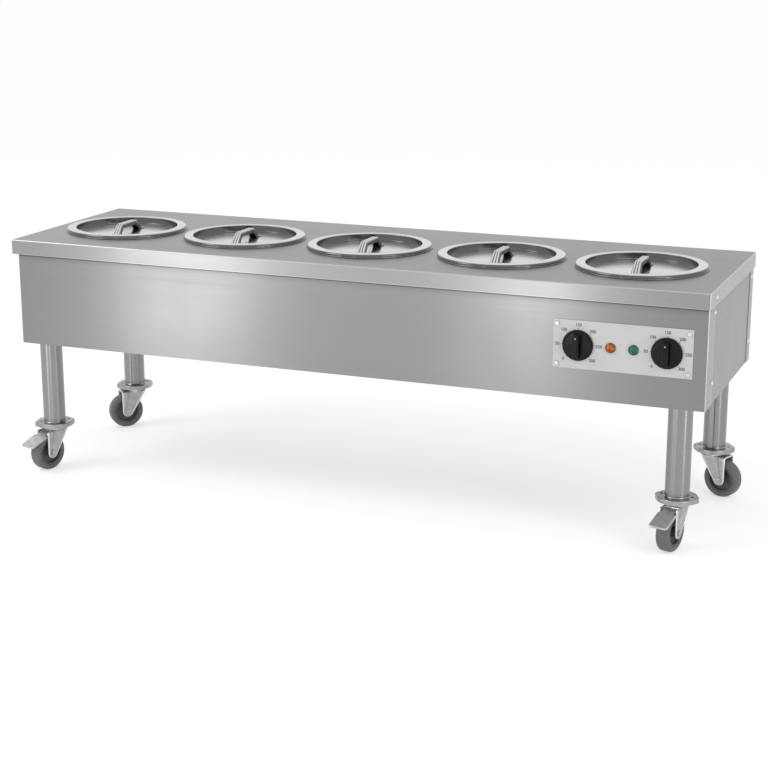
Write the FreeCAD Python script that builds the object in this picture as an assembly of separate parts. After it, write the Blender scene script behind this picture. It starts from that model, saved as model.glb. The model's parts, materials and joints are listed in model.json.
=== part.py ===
import FreeCAD, Part
import math
import os

# Electric food warmer: a long stainless worktop with five round pots hanging in it,
# over a sheet cabinet on four tube legs with swivel casters. Millimetres, +Z up, the
# floor is z = 0, the front faces -Y, and the origin is under the centre of the box.

# Worktop slab, one folded sheet
SLAB_LENGTH = 1600.0
SLAB_DEPTH = 480.0
SLAB_TOP = 546.0
SLAB_EDGE = 33.0
SLAB_SHEET = 1.5
SLAB_BEND = 2.5

# Cabinet panels
PANEL_SHEET = 1.2
PANEL_BEND = 2.4
CABINET_HEIGHT = 240.0
LEFT_OVERHANG = 14.0
RIGHT_OVERHANG = 2.0
FRONT_OVERHANG = 4.0
BACK_OVERHANG = 8.0
FRONT_RETURN = 55.0
BACK_RETURN = 36.0
BASE_LIP = 18.0

# Cabinet screws
SCREW_R = 2.0
SCREW_HEAD_R = 4.0
SCREW_HEAD = 2.4
SCREW_NUT_R = 4.0
SCREW_NUT = 3.2
SCREW_STICKOUT = 1.0
SCREW_SLACK = 0.1
SCREW_INSET = 7.0
UPPER_SCREW_DROP = 48.0
LOWER_SCREW_DROP = 192.0
SLAB_SCREW_DROP = 16.0

# Pots and wells
POT_COUNT = 5
POT_PITCH = 308.0
POT_ROW_X = -8.0
POT_ROW_Y = -22.0
POT_R = 121.0
POT_WALL = 1.0
POT_DEPTH = 172.0
POT_CORNER = 22.0
POT_RIM_R = 141.0
POT_RIM = 2.5
WELL_CLEARANCE = 2.0

# Lids, one pressed sheet each
LID_SHEET = 1.0
LID_R = 139.5
LID_RISE = 6.5
LID_SHOULDER = 4.0
LID_OPENING_R = 117.0
LID_RECESS = 15.0
LID_CORNER = 2.5

# Lid handles, a ribbed strap that bridges the plate
HANDLE_SHEET = 1.6
HANDLE_TOP_LENGTH = 66.0
HANDLE_RUN = 21.0
HANDLE_FOOT = 9.0
HANDLE_RISE = 23.5
HANDLE_SIDE = 8.0
HANDLE_TOP_WIDTH = 16.0
HANDLE_FOOT_WIDTH = 20.0
HANDLE_RIB = 0.8
HANDLE_RIB_WIDTH = 2.4
HANDLE_RIB_PITCH = 5.0

# Water tank and its heating elements
TANK_SHEET = 1.2
TANK_MARGIN = 12.0
TANK_DEPTH = 202.0
TANK_LIP = 14.0
ELEMENT_R = 4.25
ELEMENT_RISE = 14.0
ELEMENT_BEND = 24.0
ELEMENT_INSET = 40.0
ELEMENT_SPAN = 130.0
ELEMENT_START = 34.0
ELEMENT_LEGS = 46.0
ELEMENT_TAIL = 24.0
BUSH_R = 9.0
BUSH_THICK = 6.0
BUSH_SLACK = 0.05

# Control plate and what is on it
PLATE_WIDTH = 286.0
PLATE_HEIGHT = 100.0
PLATE_THICK = 2.0
PLATE_END_INSET = 174.0
PLATE_DROP = 125.5
PLATE_CORNER = 1.5
PLATE_SCREW_END_INSET = 8.0
PLATE_SCREW_EDGE_INSET = 8.5
PLATE_SCREW_HEAD_R = 4.6
KNOB_END_INSET = 52.0
KNOB_DZ = -1.0
KNOB_R = 32.0
KNOB_SKIRT = 6.0
KNOB_GAP = 0.8
KNOB_GRIP_WIDTH = 15.0
KNOB_HEIGHT = 22.0
KNOB_CAP_R = 26.0
KNOB_ROUND = 1.5
SPINDLE_R = 3.0
SPINDLE_SLACK = 0.05
SPINDLE_GRIP = 14.0
SPINDLE_TAIL = 12.0
LAMP_DX = 23.5
LAMP_DZ = -0.8
LAMP_R = 10.5
LAMP_RING = 2.5
LAMP_DOME = 4.5
LAMP_BODY_R = 6.0
LAMP_BODY = 30.0
LAMP_NUT_R = 10.0
LAMP_NUT = 4.0
PANEL_HOLE_SLACK = 0.5

# Thermostats behind the front panel
THERMOSTAT_WIDTH = 44.0
THERMOSTAT_HEIGHT = 48.0
THERMOSTAT_DEPTH = 30.0
BULB_R = 4.0
BULB_LENGTH = 60.0
CAPILLARY_R = 1.2
CAPILLARY_BEND = 12.0
CAPILLARY_DROP = 12.0
BULB_CLEARANCE = 2.0

# Mains terminal block and cable gland
TERMINAL_LENGTH = 70.0
TERMINAL_DEPTH = 24.0
TERMINAL_HEIGHT = 22.0
TERMINAL_END_INSET = 240.0
TERMINAL_POLES = 5
TERMINAL_NOTCH = 5.0
GLAND_END_INSET = 110.0
GLAND_RISE = 39.0
GLAND_HEX_R = 13.0
GLAND_HEX = 7.0
GLAND_DOME_R = 10.5
GLAND_DOME = 12.0
GLAND_BORE_R = 5.0
GLAND_THREAD_R = 9.0
GLAND_TAIL = 10.0
GLAND_NUT = 5.0

# Legs, their sockets and foot flanges
LEG_END_INSET = 60.0
LEG_FRONT_INSET = 45.5
LEG_BACK_INSET = 48.0
LEG_R = 25.4
LEG_WALL = 1.5
LEG_CLEARANCE = 0.2
SOCKET_WALL = 3.0
SOCKET_HEIGHT = 60.0
SOCKET_PLATE = 84.0
SOCKET_PLATE_THICK = 3.0
CASTER_HEIGHT = 102.0
FLANGE_THICK = 5.0
FLANGE_MID_R = 42.0
FLANGE_END_R = 14.0
FLANGE_BOLT_X = 32.0
BOLT_R = 4.0
BOLT_HEAD_R = 6.5
BOLT_HEAD = 3.0
BOLT_SUNK = 1.0
BOLT_SLACK = 0.15
FLANGE_ROUND = 2.0

# Casters: head on the leg, fork that swivels, wheel that rolls
WHEEL_R = 42.0
TYRE_WIDTH = 29.0
TYRE_ROUND = 7.0
HUB_R = 30.0
HUB_WIDTH = 26.0
HUB_WEB = 9.0
HUB_RIM = 4.0
HUB_BOSS_R = 10.0
TRAIL = 26.0
HEAD_PLATE = 5.0
RACE_R = 25.0
RACE_HEIGHT = 3.5
SWIVEL_GAP = 0.7
DISH_R = 28.0
DISH_HEIGHT = 3.0
KINGPIN_R = 6.0
KINGPIN_HEAD_R = 10.0
KINGPIN_HEAD = 3.8
RUNNING_FIT = 0.05
SIDE_PLAY = 0.3
FORK_SHEET = 3.0
FORK_GAP = 34.0
FORK_TAIL = 21.5
FORK_NOSE = 39.5
FORK_END_R = 13.0
FORK_CHEEK = 4.0
AXLE_R = 3.5
AXLE_HEAD_R = 5.5
AXLE_HEAD = 2.5

# Brake pedals on the two front casters
PEDAL_PIN_U = 27.0
PEDAL_PIN_DROP = 6.6
PEDAL_PIN_R = 2.0
PEDAL_BOSS_R = 3.6
PEDAL_SHEET = 2.5
PEDAL_LENGTH = 64.0
PEDAL_SLOPE = 21.5
PEDAL_WIDTH = 41.0
PEDAL_TIP = 6.0
PEDAL_LIP = 4.5
PEDAL_ROUND = 1.2
PEDAL_PLAY = 0.5
BRAKE_GAP = 0.4
BRAKE_SHOE = 9.0
FORK_TOP_CUT = 15.0

# How each caster stands: the way its wheel trails, and the turn of its foot flange, in
# degrees about +Z from +X, in the order of CORNERS
CORNERS = ["front_left", "front_right", "back_left", "back_right"]
TRAIL_ANGLE = [-107.0, -103.0, -134.0, -19.0]
FLANGE_ANGLE = [41.0, -4.0, 43.0, 3.0]

V = FreeCAD.Vector
UP = V(0, 0, 1)
BACK = V(0, 1, 0)
RIGHT = V(1, 0, 0)

# Planes and levels that follow from the sizes
SLAB_LEFT = -SLAB_LENGTH / 2
SLAB_RIGHT = SLAB_LENGTH / 2
SLAB_FRONT = -SLAB_DEPTH / 2
SLAB_BACK = SLAB_DEPTH / 2
SLAB_UNDER = SLAB_TOP - SLAB_SHEET
CAB_LEFT = SLAB_LEFT + LEFT_OVERHANG
CAB_RIGHT = SLAB_RIGHT - RIGHT_OVERHANG
CAB_FRONT = SLAB_FRONT + FRONT_OVERHANG
CAB_BACK = SLAB_BACK - BACK_OVERHANG
SIDE_LEFT = CAB_LEFT + PANEL_SHEET
SIDE_RIGHT = CAB_RIGHT - PANEL_SHEET
INNER_LEFT = SIDE_LEFT + PANEL_SHEET
INNER_RIGHT = SIDE_RIGHT - PANEL_SHEET
INNER_FRONT = CAB_FRONT + PANEL_SHEET
INNER_BACK = CAB_BACK - PANEL_SHEET
CABINET_BOTTOM = SLAB_TOP - CABINET_HEIGHT
BASE_TOP = CABINET_BOTTOM + PANEL_SHEET
TANK_FLOOR = SLAB_TOP - TANK_DEPTH
ELEMENT_Z = TANK_FLOOR + ELEMENT_RISE
PLATE_X = SLAB_RIGHT - PLATE_END_INSET
PLATE_Z = SLAB_TOP - PLATE_DROP
TERMINAL_X = SLAB_RIGHT - TERMINAL_END_INSET
GLAND_X = SLAB_RIGHT - GLAND_END_INSET
GLAND_Z = CABINET_BOTTOM + GLAND_RISE
PLATE_FRONT = CAB_FRONT - PLATE_THICK
KNOB_FRONT = PLATE_FRONT - KNOB_GAP - KNOB_HEIGHT
GLAND_TIP = CAB_BACK + GLAND_HEX + GLAND_DOME
HEAD_BOTTOM = CASTER_HEIGHT - RACE_HEIGHT
FLANGE_BOTTOM = CASTER_HEIGHT + HEAD_PLATE
FLANGE_TOP = FLANGE_BOTTOM + FLANGE_THICK
DISH_TOP = HEAD_BOTTOM - SWIVEL_GAP
FORK_TOP = DISH_TOP - DISH_HEIGHT
FORK_UNDER = FORK_TOP - FORK_SHEET
FORK_OUTER = FORK_GAP + 2 * FORK_SHEET
PEDAL_PIN_Z = FORK_TOP - PEDAL_PIN_DROP
PEDAL_NECK = (FORK_NOSE - PEDAL_PIN_U + PEDAL_SHEET) / math.cos(math.radians(PEDAL_SLOPE))
LID_TOP = SLAB_TOP + POT_RIM + LID_RISE
LID_PLATE = LID_TOP - LID_RECESS
POT_FLOOR = SLAB_TOP - POT_DEPTH
BULB_Z = POT_FLOOR - BULB_CLEARANCE - BULB_R
POT_X = [POT_ROW_X + POT_PITCH * (i - (POT_COUNT - 1) / 2) for i in range(POT_COUNT)]
TANK_LEFT = POT_X[0] - POT_R - TANK_MARGIN
TANK_RIGHT = POT_X[-1] + POT_R + TANK_MARGIN
TANK_FRONT = POT_ROW_Y - POT_R - TANK_MARGIN
TANK_BACK = POT_ROW_Y + POT_R + TANK_MARGIN
PLATE_SCREW_DX = PLATE_WIDTH / 2 - PLATE_SCREW_END_INSET
PLATE_SCREW_DZ = PLATE_HEIGHT / 2 - PLATE_SCREW_EDGE_INSET
KNOB_DX = PLATE_WIDTH / 2 - KNOB_END_INSET
KNOB_X = [PLATE_X - KNOB_DX, PLATE_X + KNOB_DX]
KNOB_Z = PLATE_Z + KNOB_DZ
LAMP_X = [PLATE_X - LAMP_DX, PLATE_X + LAMP_DX]
LAMP_Z = PLATE_Z + LAMP_DZ
LEG_FRONT = CAB_FRONT + LEG_FRONT_INSET
LEG_BACK = CAB_BACK - LEG_BACK_INSET
LEG_LEFT = SLAB_LEFT + LEG_END_INSET
LEG_RIGHT = SLAB_RIGHT - LEG_END_INSET
LEG_PLACES = [(x, y) for y in (LEG_FRONT, LEG_BACK) for x in (LEG_LEFT, LEG_RIGHT)]
BRAKED = [corner.startswith("front") for corner in CORNERS]


def pedal_front(angle):
    """How far forward a front caster's pedal reaches when it trails at an angle."""
    slope = math.radians(PEDAL_SLOPE)
    reach = PEDAL_PIN_U + PEDAL_LENGTH * math.cos(slope) + PEDAL_BOSS_R * math.sin(slope)
    aside = PEDAL_WIDTH / 2
    turn = math.radians(angle)
    corners = [(reach - PEDAL_TIP, aside), (reach - PEDAL_TIP, -aside), (reach, aside - PEDAL_TIP),
               (reach, PEDAL_TIP - aside)]
    return LEG_FRONT + min(u * math.sin(turn) + v * math.cos(turn) for u, v in corners)


FRONT_REACH = min([KNOB_FRONT] + [pedal_front(a) for a, braked in zip(TRAIL_ANGLE, BRAKED) if braked])
BOX_SHIFT = -(FRONT_REACH + max(SLAB_BACK, GLAND_TIP)) / 2


def box(x0, x1, y0, y1, z0, z1):
    """A box between two corners."""
    return Part.makeBox(x1 - x0, y1 - y0, z1 - z0, V(x0, y0, z0))


def rod(radius, start, end):
    """A cylinder from one point to another."""
    return Part.makeCylinder(radius, (end - start).Length, start, end - start)


def hexagon(radius, start, end):
    """A hexagonal prism, radius across the flats, from one point to another."""
    axis = end - start
    corner = radius / math.cos(math.pi / 6)
    points = [V(corner * math.cos(a), corner * math.sin(a), 0) for a in [i * math.pi / 3 for i in range(7)]]
    prism = Part.Face(Part.makePolygon(points)).extrude(UP * axis.Length)
    prism.Placement = FreeCAD.Placement(start, FreeCAD.Rotation(UP, axis))
    return prism


def filled(wire_edges):
    """The flat face inside a closed run of edges."""
    return Part.Face(Part.Wire(Part.__sortEdges__(wire_edges)))


def turned(points):
    """A solid of revolution about Z from (radius, height) points."""
    corners = [V(r, 0, z) for r, z in points]
    face = Part.Face(Part.makePolygon(corners + corners[:1]))
    return face.revolve(V(0, 0, 0), UP, 360)


def fillet_where(shape, radius, wanted):
    """Rounds the edges for which wanted(edge) is true."""
    edges = [edge for edge in shape.Edges if wanted(edge)]
    return shape.makeFillet(radius, edges)


def runs_along(edge, axis):
    """True for a straight edge along an axis."""
    if edge.Curve.TypeId != "Part::GeomLine":
        return False
    return abs(abs(edge.tangentAt(edge.FirstParameter).dot(axis)) - 1) < 1e-6


def bent_tube(points, bend, radius):
    """A round tube's solid along straight runs joined by arcs of one radius."""
    edges = []
    start = points[0]
    for before, corner, after in zip(points, points[1:], points[2:]):
        back = (before - corner).normalize()
        on = (after - corner).normalize()
        half = back.getAngle(on) / 2
        reach = bend / math.tan(half)
        middle = (back + on).normalize() * (bend / math.sin(half) - bend)
        entry = corner + back * reach
        leave = corner + on * reach
        edges.append(Part.LineSegment(start, entry).toShape())
        edges.append(Part.Arc(entry, corner + middle, leave).toShape())
        start = leave
    edges.append(Part.LineSegment(start, points[-1]).toShape())
    path = Part.Wire(edges)
    circle = Part.Circle(points[0], points[1] - points[0], radius).toShape()
    return path.makePipeShell([Part.Wire([circle])], True, False)


def save(node, shapes):
    """Writes one node, a solid or a group of solids, to its file."""
    shape = shapes if isinstance(shapes, Part.Shape) else Part.makeCompound(shapes)
    placed = shape.copy()
    placed.translate(BACK * BOX_SHIFT)
    placed.exportStep("parts/" + node + ".step")


def top_slab():
    """The worktop: a sheet turned down on four sides, with a hole for each pot."""
    outer = box(SLAB_LEFT, SLAB_RIGHT, SLAB_FRONT, SLAB_BACK, SLAB_TOP - SLAB_EDGE, SLAB_TOP)
    outer = fillet_where(outer, SLAB_BEND, lambda e: runs_along(e, UP) or e.CenterOfMass.z > SLAB_UNDER)
    inner = box(SLAB_LEFT + SLAB_SHEET, SLAB_RIGHT - SLAB_SHEET, SLAB_FRONT + SLAB_SHEET,
                SLAB_BACK - SLAB_SHEET, SLAB_TOP - SLAB_EDGE, SLAB_UNDER)
    slab = outer.cut(inner)
    for x in POT_X:
        hole = V(x, POT_ROW_Y, SLAB_UNDER)
        slab = slab.cut(rod(POT_R + WELL_CLEARANCE, hole, hole + UP * SLAB_SHEET))
    for start, end in slab_screws():
        slab = slab.cut(rod(SCREW_R + SCREW_SLACK, start, end))
    return slab


def wrapped_panel(outside, inward, depth):
    """A cabinet panel with returns round both ends; inward is +1 at the front, -1 at the back."""
    y0, y1 = sorted([outside, outside + inward * PANEL_SHEET])
    r0, r1 = sorted([outside, outside + inward * depth])
    wall = box(CAB_LEFT, CAB_RIGHT, y0, y1, CABINET_BOTTOM, SLAB_UNDER)
    left = box(CAB_LEFT, SIDE_LEFT, r0, r1, CABINET_BOTTOM, SLAB_UNDER)
    right = box(SIDE_RIGHT, CAB_RIGHT, r0, r1, CABINET_BOTTOM, SLAB_UNDER)
    panel = wall.fuse([left, right]).removeSplitter()
    return fillet_where(panel, PANEL_BEND,
                        lambda e: runs_along(e, UP) and abs(e.CenterOfMass.y - outside) < 1e-6)


def side_screws():
    """Start and end of each side screw's shank, from outside the return inwards."""
    shanks = []
    reach = 2 * PANEL_SHEET + SCREW_NUT + SCREW_STICKOUT
    rows = [CAB_FRONT + FRONT_RETURN - SCREW_INSET, CAB_BACK - BACK_RETURN + SCREW_INSET]
    for y in rows:
        for drop in (UPPER_SCREW_DROP, LOWER_SCREW_DROP):
            for x, way in ((CAB_LEFT, 1), (CAB_RIGHT, -1)):
                start = V(x, y, SLAB_TOP - drop)
                shanks.append((start, start + RIGHT * (way * reach)))
    return shanks


def slab_screws():
    """Start and end of the screw through the slab's right turned-down edge into the return."""
    start = V(SLAB_RIGHT, CAB_FRONT + FRONT_RETURN - SCREW_INSET, SLAB_TOP - SLAB_SCREW_DROP)
    reach = RIGHT_OVERHANG + 2 * PANEL_SHEET + SCREW_NUT + SCREW_STICKOUT
    return [(start, start - RIGHT * reach)]


def drilled_for_screws(panel):
    """A panel with the screws' clearance holes."""
    for start, end in side_screws() + slab_screws():
        panel = panel.cut(rod(SCREW_R + SCREW_SLACK, start, end))
    return panel


def front_panel():
    """The cabinet's front, with holes behind the control plate."""
    panel = drilled_for_screws(wrapped_panel(CAB_FRONT, 1, FRONT_RETURN))
    for x in KNOB_X:
        start = V(x, CAB_FRONT, KNOB_Z)
        panel = panel.cut(rod(SPINDLE_R + PANEL_HOLE_SLACK, start, start + BACK * PANEL_SHEET))
    for x in LAMP_X:
        start = V(x, CAB_FRONT, LAMP_Z)
        panel = panel.cut(rod(LAMP_BODY_R + PANEL_HOLE_SLACK, start, start + BACK * PANEL_SHEET))
    for start, end in plate_screws():
        panel = panel.cut(rod(SCREW_R + SCREW_SLACK, start, end))
    return panel


def back_panel():
    """The cabinet's back, with the hole for the cable gland."""
    panel = drilled_for_screws(wrapped_panel(CAB_BACK, -1, BACK_RETURN))
    start = V(GLAND_X, CAB_BACK, GLAND_Z)
    return panel.cut(rod(GLAND_THREAD_R + SCREW_SLACK, start, start - BACK * PANEL_SHEET))


def side_panel(x0, x1):
    """A flat end panel that lies behind the returns of the front and back panels."""
    return drilled_for_screws(box(x0, x1, INNER_FRONT, INNER_BACK, CABINET_BOTTOM, SLAB_UNDER))


def base_panel():
    """The floor of the cabinet, turned up along the front and back, with holes for the legs."""
    floor = box(INNER_LEFT, INNER_RIGHT, INNER_FRONT, INNER_BACK, CABINET_BOTTOM, BASE_TOP)
    front = box(INNER_LEFT, INNER_RIGHT, INNER_FRONT, INNER_FRONT + PANEL_SHEET, CABINET_BOTTOM,
                CABINET_BOTTOM + BASE_LIP)
    back = box(INNER_LEFT, INNER_RIGHT, INNER_BACK - PANEL_SHEET, INNER_BACK, CABINET_BOTTOM,
               CABINET_BOTTOM + BASE_LIP)
    panel = floor.fuse([front, back]).removeSplitter()
    for x, y in LEG_PLACES:
        panel = panel.cut(rod(LEG_R + LEG_CLEARANCE, V(x, y, CABINET_BOTTOM), V(x, y, BASE_TOP)))
    return panel


def screw(start, end, head_r):
    """A pan-head screw whose head stands outside its start, with a cross recess left to the finish."""
    way = (end - start).normalize()
    head = rod(head_r, start - way * SCREW_HEAD, start)
    shank = rod(SCREW_R, start, end)
    whole = head.fuse(shank).removeSplitter()
    outer = start - way * SCREW_HEAD
    return fillet_where(whole, SCREW_HEAD / 2, lambda e: abs((e.CenterOfMass - outer).dot(way)) < 1e-6)


def screw_nut(start, end, grip):
    """The nut on a screw, behind the sheets that it grips."""
    way = (end - start).normalize()
    seat = start + way * grip
    nut = hexagon(SCREW_NUT_R, seat, seat + way * SCREW_NUT)
    return nut.cut(rod(SCREW_R + RUNNING_FIT, seat, seat + way * SCREW_NUT))


def cabinet_screws():
    """The side panels' screws and the slab's screw, with their nuts."""
    solids = []
    for start, end in side_screws():
        solids.append(screw(start, end, SCREW_HEAD_R))
        solids.append(screw_nut(start, end, 2 * PANEL_SHEET))
    for start, end in slab_screws():
        solids.append(screw(start, end, SCREW_HEAD_R))
        solids.append(screw_nut(start, end, RIGHT_OVERHANG + 2 * PANEL_SHEET))
    return solids


def plate_screws():
    """Start and end of each control plate screw's shank."""
    shanks = []
    reach = PLATE_THICK + PANEL_SHEET + SCREW_NUT + SCREW_STICKOUT
    for sx in (-1, 1):
        for sz in (-1, 1):
            start = V(PLATE_X + sx * PLATE_SCREW_DX, PLATE_FRONT, PLATE_Z + sz * PLATE_SCREW_DZ)
            shanks.append((start, start + BACK * reach))
    return shanks


def control_plate():
    """The plate with the scales, on the cabinet's front."""
    plate = box(PLATE_X - PLATE_WIDTH / 2, PLATE_X + PLATE_WIDTH / 2, PLATE_FRONT, CAB_FRONT,
                PLATE_Z - PLATE_HEIGHT / 2, PLATE_Z + PLATE_HEIGHT / 2)
    plate = fillet_where(plate, PLATE_CORNER, lambda e: runs_along(e, BACK))
    for x in KNOB_X:
        start = V(x, PLATE_FRONT, KNOB_Z)
        plate = plate.cut(rod(SPINDLE_R + PANEL_HOLE_SLACK, start, start + BACK * PLATE_THICK))
    for x in LAMP_X:
        start = V(x, PLATE_FRONT, LAMP_Z)
        plate = plate.cut(rod(LAMP_BODY_R + PANEL_HOLE_SLACK, start, start + BACK * PLATE_THICK))
    for start, end in plate_screws():
        plate = plate.cut(rod(SCREW_R + SCREW_SLACK, start, end))
    return plate


def control_plate_screws():
    """Four pan-head screws with nuts inside the cabinet."""
    solids = []
    for start, end in plate_screws():
        solids.append(screw(start, end, PLATE_SCREW_HEAD_R))
        solids.append(screw_nut(start, end, PLATE_THICK + PANEL_SHEET))
    return solids


def lamp_lens(x):
    """A lamp's domed lens, in front of the plate."""
    seat = V(x, PLATE_FRONT, LAMP_Z)
    ring = rod(LAMP_R, seat, seat - BACK * LAMP_RING)
    ball_r = (LAMP_R ** 2 + LAMP_DOME ** 2) / (2 * LAMP_DOME)
    ball = Part.makeSphere(ball_r, seat - BACK * (LAMP_RING + LAMP_DOME - ball_r))
    tip = seat - BACK * (LAMP_RING + LAMP_DOME)
    return ring.fuse(ball.common(rod(LAMP_R, seat - BACK * LAMP_RING, tip))).removeSplitter()


def lamp_bodies():
    """The lamps' sleeves through the panel, each with its nut."""
    solids = []
    for x in LAMP_X:
        front = V(x, PLATE_FRONT, LAMP_Z)
        seat = V(x, INNER_FRONT, LAMP_Z)
        sleeve = rod(LAMP_BODY_R, front, front + BACK * LAMP_BODY)
        nut = hexagon(LAMP_NUT_R, seat, seat + BACK * LAMP_NUT)
        solids.append(sleeve)
        solids.append(nut.cut(rod(LAMP_BODY_R + RUNNING_FIT, seat, seat + BACK * LAMP_NUT)))
    return solids


def knob(x):
    """A skirted bar knob, pointing up, and the spindle pressed into it."""
    top = KNOB_HEIGHT
    brim = KNOB_SKIRT * 0.5
    skirt = turned([(0, 0), (KNOB_R, 0), (KNOB_R, brim), (KNOB_CAP_R, KNOB_SKIRT), (0, KNOB_SKIRT)])
    bar = box(-KNOB_GRIP_WIDTH / 2, KNOB_GRIP_WIDTH / 2, -KNOB_CAP_R, KNOB_CAP_R, 0, top)
    bar = bar.common(rod(KNOB_CAP_R, V(0, 0, 0), UP * top))
    bar = fillet_where(bar, KNOB_ROUND, lambda e: e.CenterOfMass.z > top - 1e-6)
    body = skirt.fuse(bar).removeSplitter()
    body = body.cut(rod(SPINDLE_R, V(0, 0, 0), UP * SPINDLE_GRIP))
    tail = KNOB_GAP + PLATE_THICK + PANEL_SHEET + SPINDLE_TAIL
    spindle = rod(SPINDLE_R, UP * -tail, UP * SPINDLE_GRIP)
    place = FreeCAD.Placement(V(x, PLATE_FRONT - KNOB_GAP, KNOB_Z), FreeCAD.Rotation(RIGHT, 90))
    for solid in (body, spindle):
        solid.Placement = place
    return [body, spindle]


def thermostat(x):
    """A capillary thermostat: its case, its capillary and its bulb in the tank."""
    z0 = KNOB_Z - THERMOSTAT_HEIGHT / 2
    case = box(x - THERMOSTAT_WIDTH / 2, x + THERMOSTAT_WIDTH / 2, INNER_FRONT,
               INNER_FRONT + THERMOSTAT_DEPTH, z0, z0 + THERMOSTAT_HEIGHT)
    bore = V(x, INNER_FRONT, KNOB_Z)
    case = case.cut(rod(SPINDLE_R + SPINDLE_SLACK, bore, bore + BACK * SPINDLE_TAIL))
    rear = INNER_FRONT + THERMOSTAT_DEPTH
    leave = z0 + CAPILLARY_DROP
    middle = (rear + TANK_FRONT) / 2
    bulb_end = TANK_FRONT + TANK_SHEET + BULB_LENGTH
    route = [V(x, rear, leave), V(x, middle, leave), V(x, middle, BULB_Z), V(x, TANK_FRONT, BULB_Z)]
    capillary = bent_tube(route, min(CAPILLARY_BEND, (TANK_FRONT - rear) * 0.45), CAPILLARY_R)
    bulb = rod(BULB_R, V(x, TANK_FRONT, BULB_Z), V(x, bulb_end, BULB_Z))
    return [case, capillary, bulb]


def water_tank():
    """The tank under the worktop: a sheet box with a lip against the slab's underside."""
    lip_z = SLAB_UNDER - TANK_SHEET
    outer = box(TANK_LEFT, TANK_RIGHT, TANK_FRONT, TANK_BACK, TANK_FLOOR, SLAB_UNDER)
    lip = box(TANK_LEFT - TANK_LIP, TANK_RIGHT + TANK_LIP, TANK_FRONT - TANK_LIP, TANK_BACK + TANK_LIP,
              lip_z, SLAB_UNDER)
    inner = box(TANK_LEFT + TANK_SHEET, TANK_RIGHT - TANK_SHEET, TANK_FRONT + TANK_SHEET,
                TANK_BACK - TANK_SHEET, TANK_FLOOR + TANK_SHEET, SLAB_UNDER)
    tank = outer.fuse(lip).removeSplitter().cut(inner)
    for x, y in element_ends():
        start = V(x, TANK_FRONT, ELEMENT_Z)
        tank = tank.cut(rod(ELEMENT_R + BUSH_SLACK, start, start + BACK * TANK_SHEET))
    for x in KNOB_X:
        start = V(x, TANK_FRONT, BULB_Z)
        tank = tank.cut(rod(BULB_R + BUSH_SLACK, start, start + BACK * TANK_SHEET))
    return tank


def element_route(side):
    """The plan route of one heating element; side is -1 on the left, +1 on the right."""
    centre = (TANK_LEFT + TANK_RIGHT) / 2
    near = centre + side * ELEMENT_START
    other = near + side * ELEMENT_LEGS
    far = (TANK_RIGHT if side > 0 else TANK_LEFT) - side * ELEMENT_INSET
    start_y = TANK_FRONT - ELEMENT_TAIL
    front_y = POT_ROW_Y - ELEMENT_SPAN / 2
    back_y = POT_ROW_Y + ELEMENT_SPAN / 2
    plan = [(other, start_y), (other, front_y), (far, front_y), (far, back_y), (near, back_y),
            (near, start_y)]
    return [V(x, y, ELEMENT_Z) for x, y in plan]


def element_ends():
    """Where the heating elements pass the tank's front wall, as (x, y) of the outer face."""
    ends = []
    for side in (-1, 1):
        route = element_route(side)
        ends.append((route[0].x, TANK_FRONT))
        ends.append((route[-1].x, TANK_FRONT))
    return ends


def heating_elements():
    """Two tubular elements on the tank's floor, with their bushes in the front wall."""
    solids = [bent_tube(element_route(side), ELEMENT_BEND, ELEMENT_R) for side in (-1, 1)]
    for x, y in element_ends():
        outside = V(x, y, ELEMENT_Z)
        inside = outside + BACK * TANK_SHEET
        for seat, way in ((outside, -1), (inside, 1)):
            end = seat + BACK * (way * BUSH_THICK)
            solids.append(hexagon(BUSH_R, seat, end).cut(rod(ELEMENT_R + BUSH_SLACK, seat, end)))
    return solids


def terminal_block():
    """The mains terminal block on the cabinet's floor, notched between its poles."""
    y0 = INNER_FRONT + PANEL_SHEET
    x0 = TERMINAL_X - TERMINAL_LENGTH / 2
    block = box(x0, x0 + TERMINAL_LENGTH, y0, y0 + TERMINAL_DEPTH, BASE_TOP, BASE_TOP + TERMINAL_HEIGHT)
    pole = TERMINAL_LENGTH / TERMINAL_POLES
    for i in range(TERMINAL_POLES):
        x = x0 + pole * (i + 0.5)
        top = BASE_TOP + TERMINAL_HEIGHT
        notch = box(x - pole / 4, x + pole / 4, y0, y0 + TERMINAL_DEPTH, top - TERMINAL_NOTCH, top)
        block = block.cut(notch)
    return block


def cable_gland():
    """The mains cable gland in the back panel and its nut; the bore is open right through."""
    wall = V(GLAND_X, CAB_BACK, GLAND_Z)
    inside = V(GLAND_X, INNER_BACK, GLAND_Z)
    hexed = wall + BACK * GLAND_HEX
    tip = hexed + BACK * GLAND_DOME
    tail = wall - BACK * (PANEL_SHEET + GLAND_TAIL)
    dome = fillet_where(rod(GLAND_DOME_R, hexed, tip), GLAND_DOME / 3,
                        lambda e: abs(e.CenterOfMass.y - tip.y) < 1e-6)
    body = hexagon(GLAND_HEX_R, wall, hexed).fuse([dome, rod(GLAND_THREAD_R, tail, wall)]).removeSplitter()
    body = body.cut(rod(GLAND_BORE_R, tail, tip))
    nut = hexagon(GLAND_HEX_R, inside, inside - BACK * GLAND_NUT)
    nut = nut.cut(rod(GLAND_THREAD_R + RUNNING_FIT, inside, inside - BACK * GLAND_NUT))
    return [body, nut]


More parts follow.
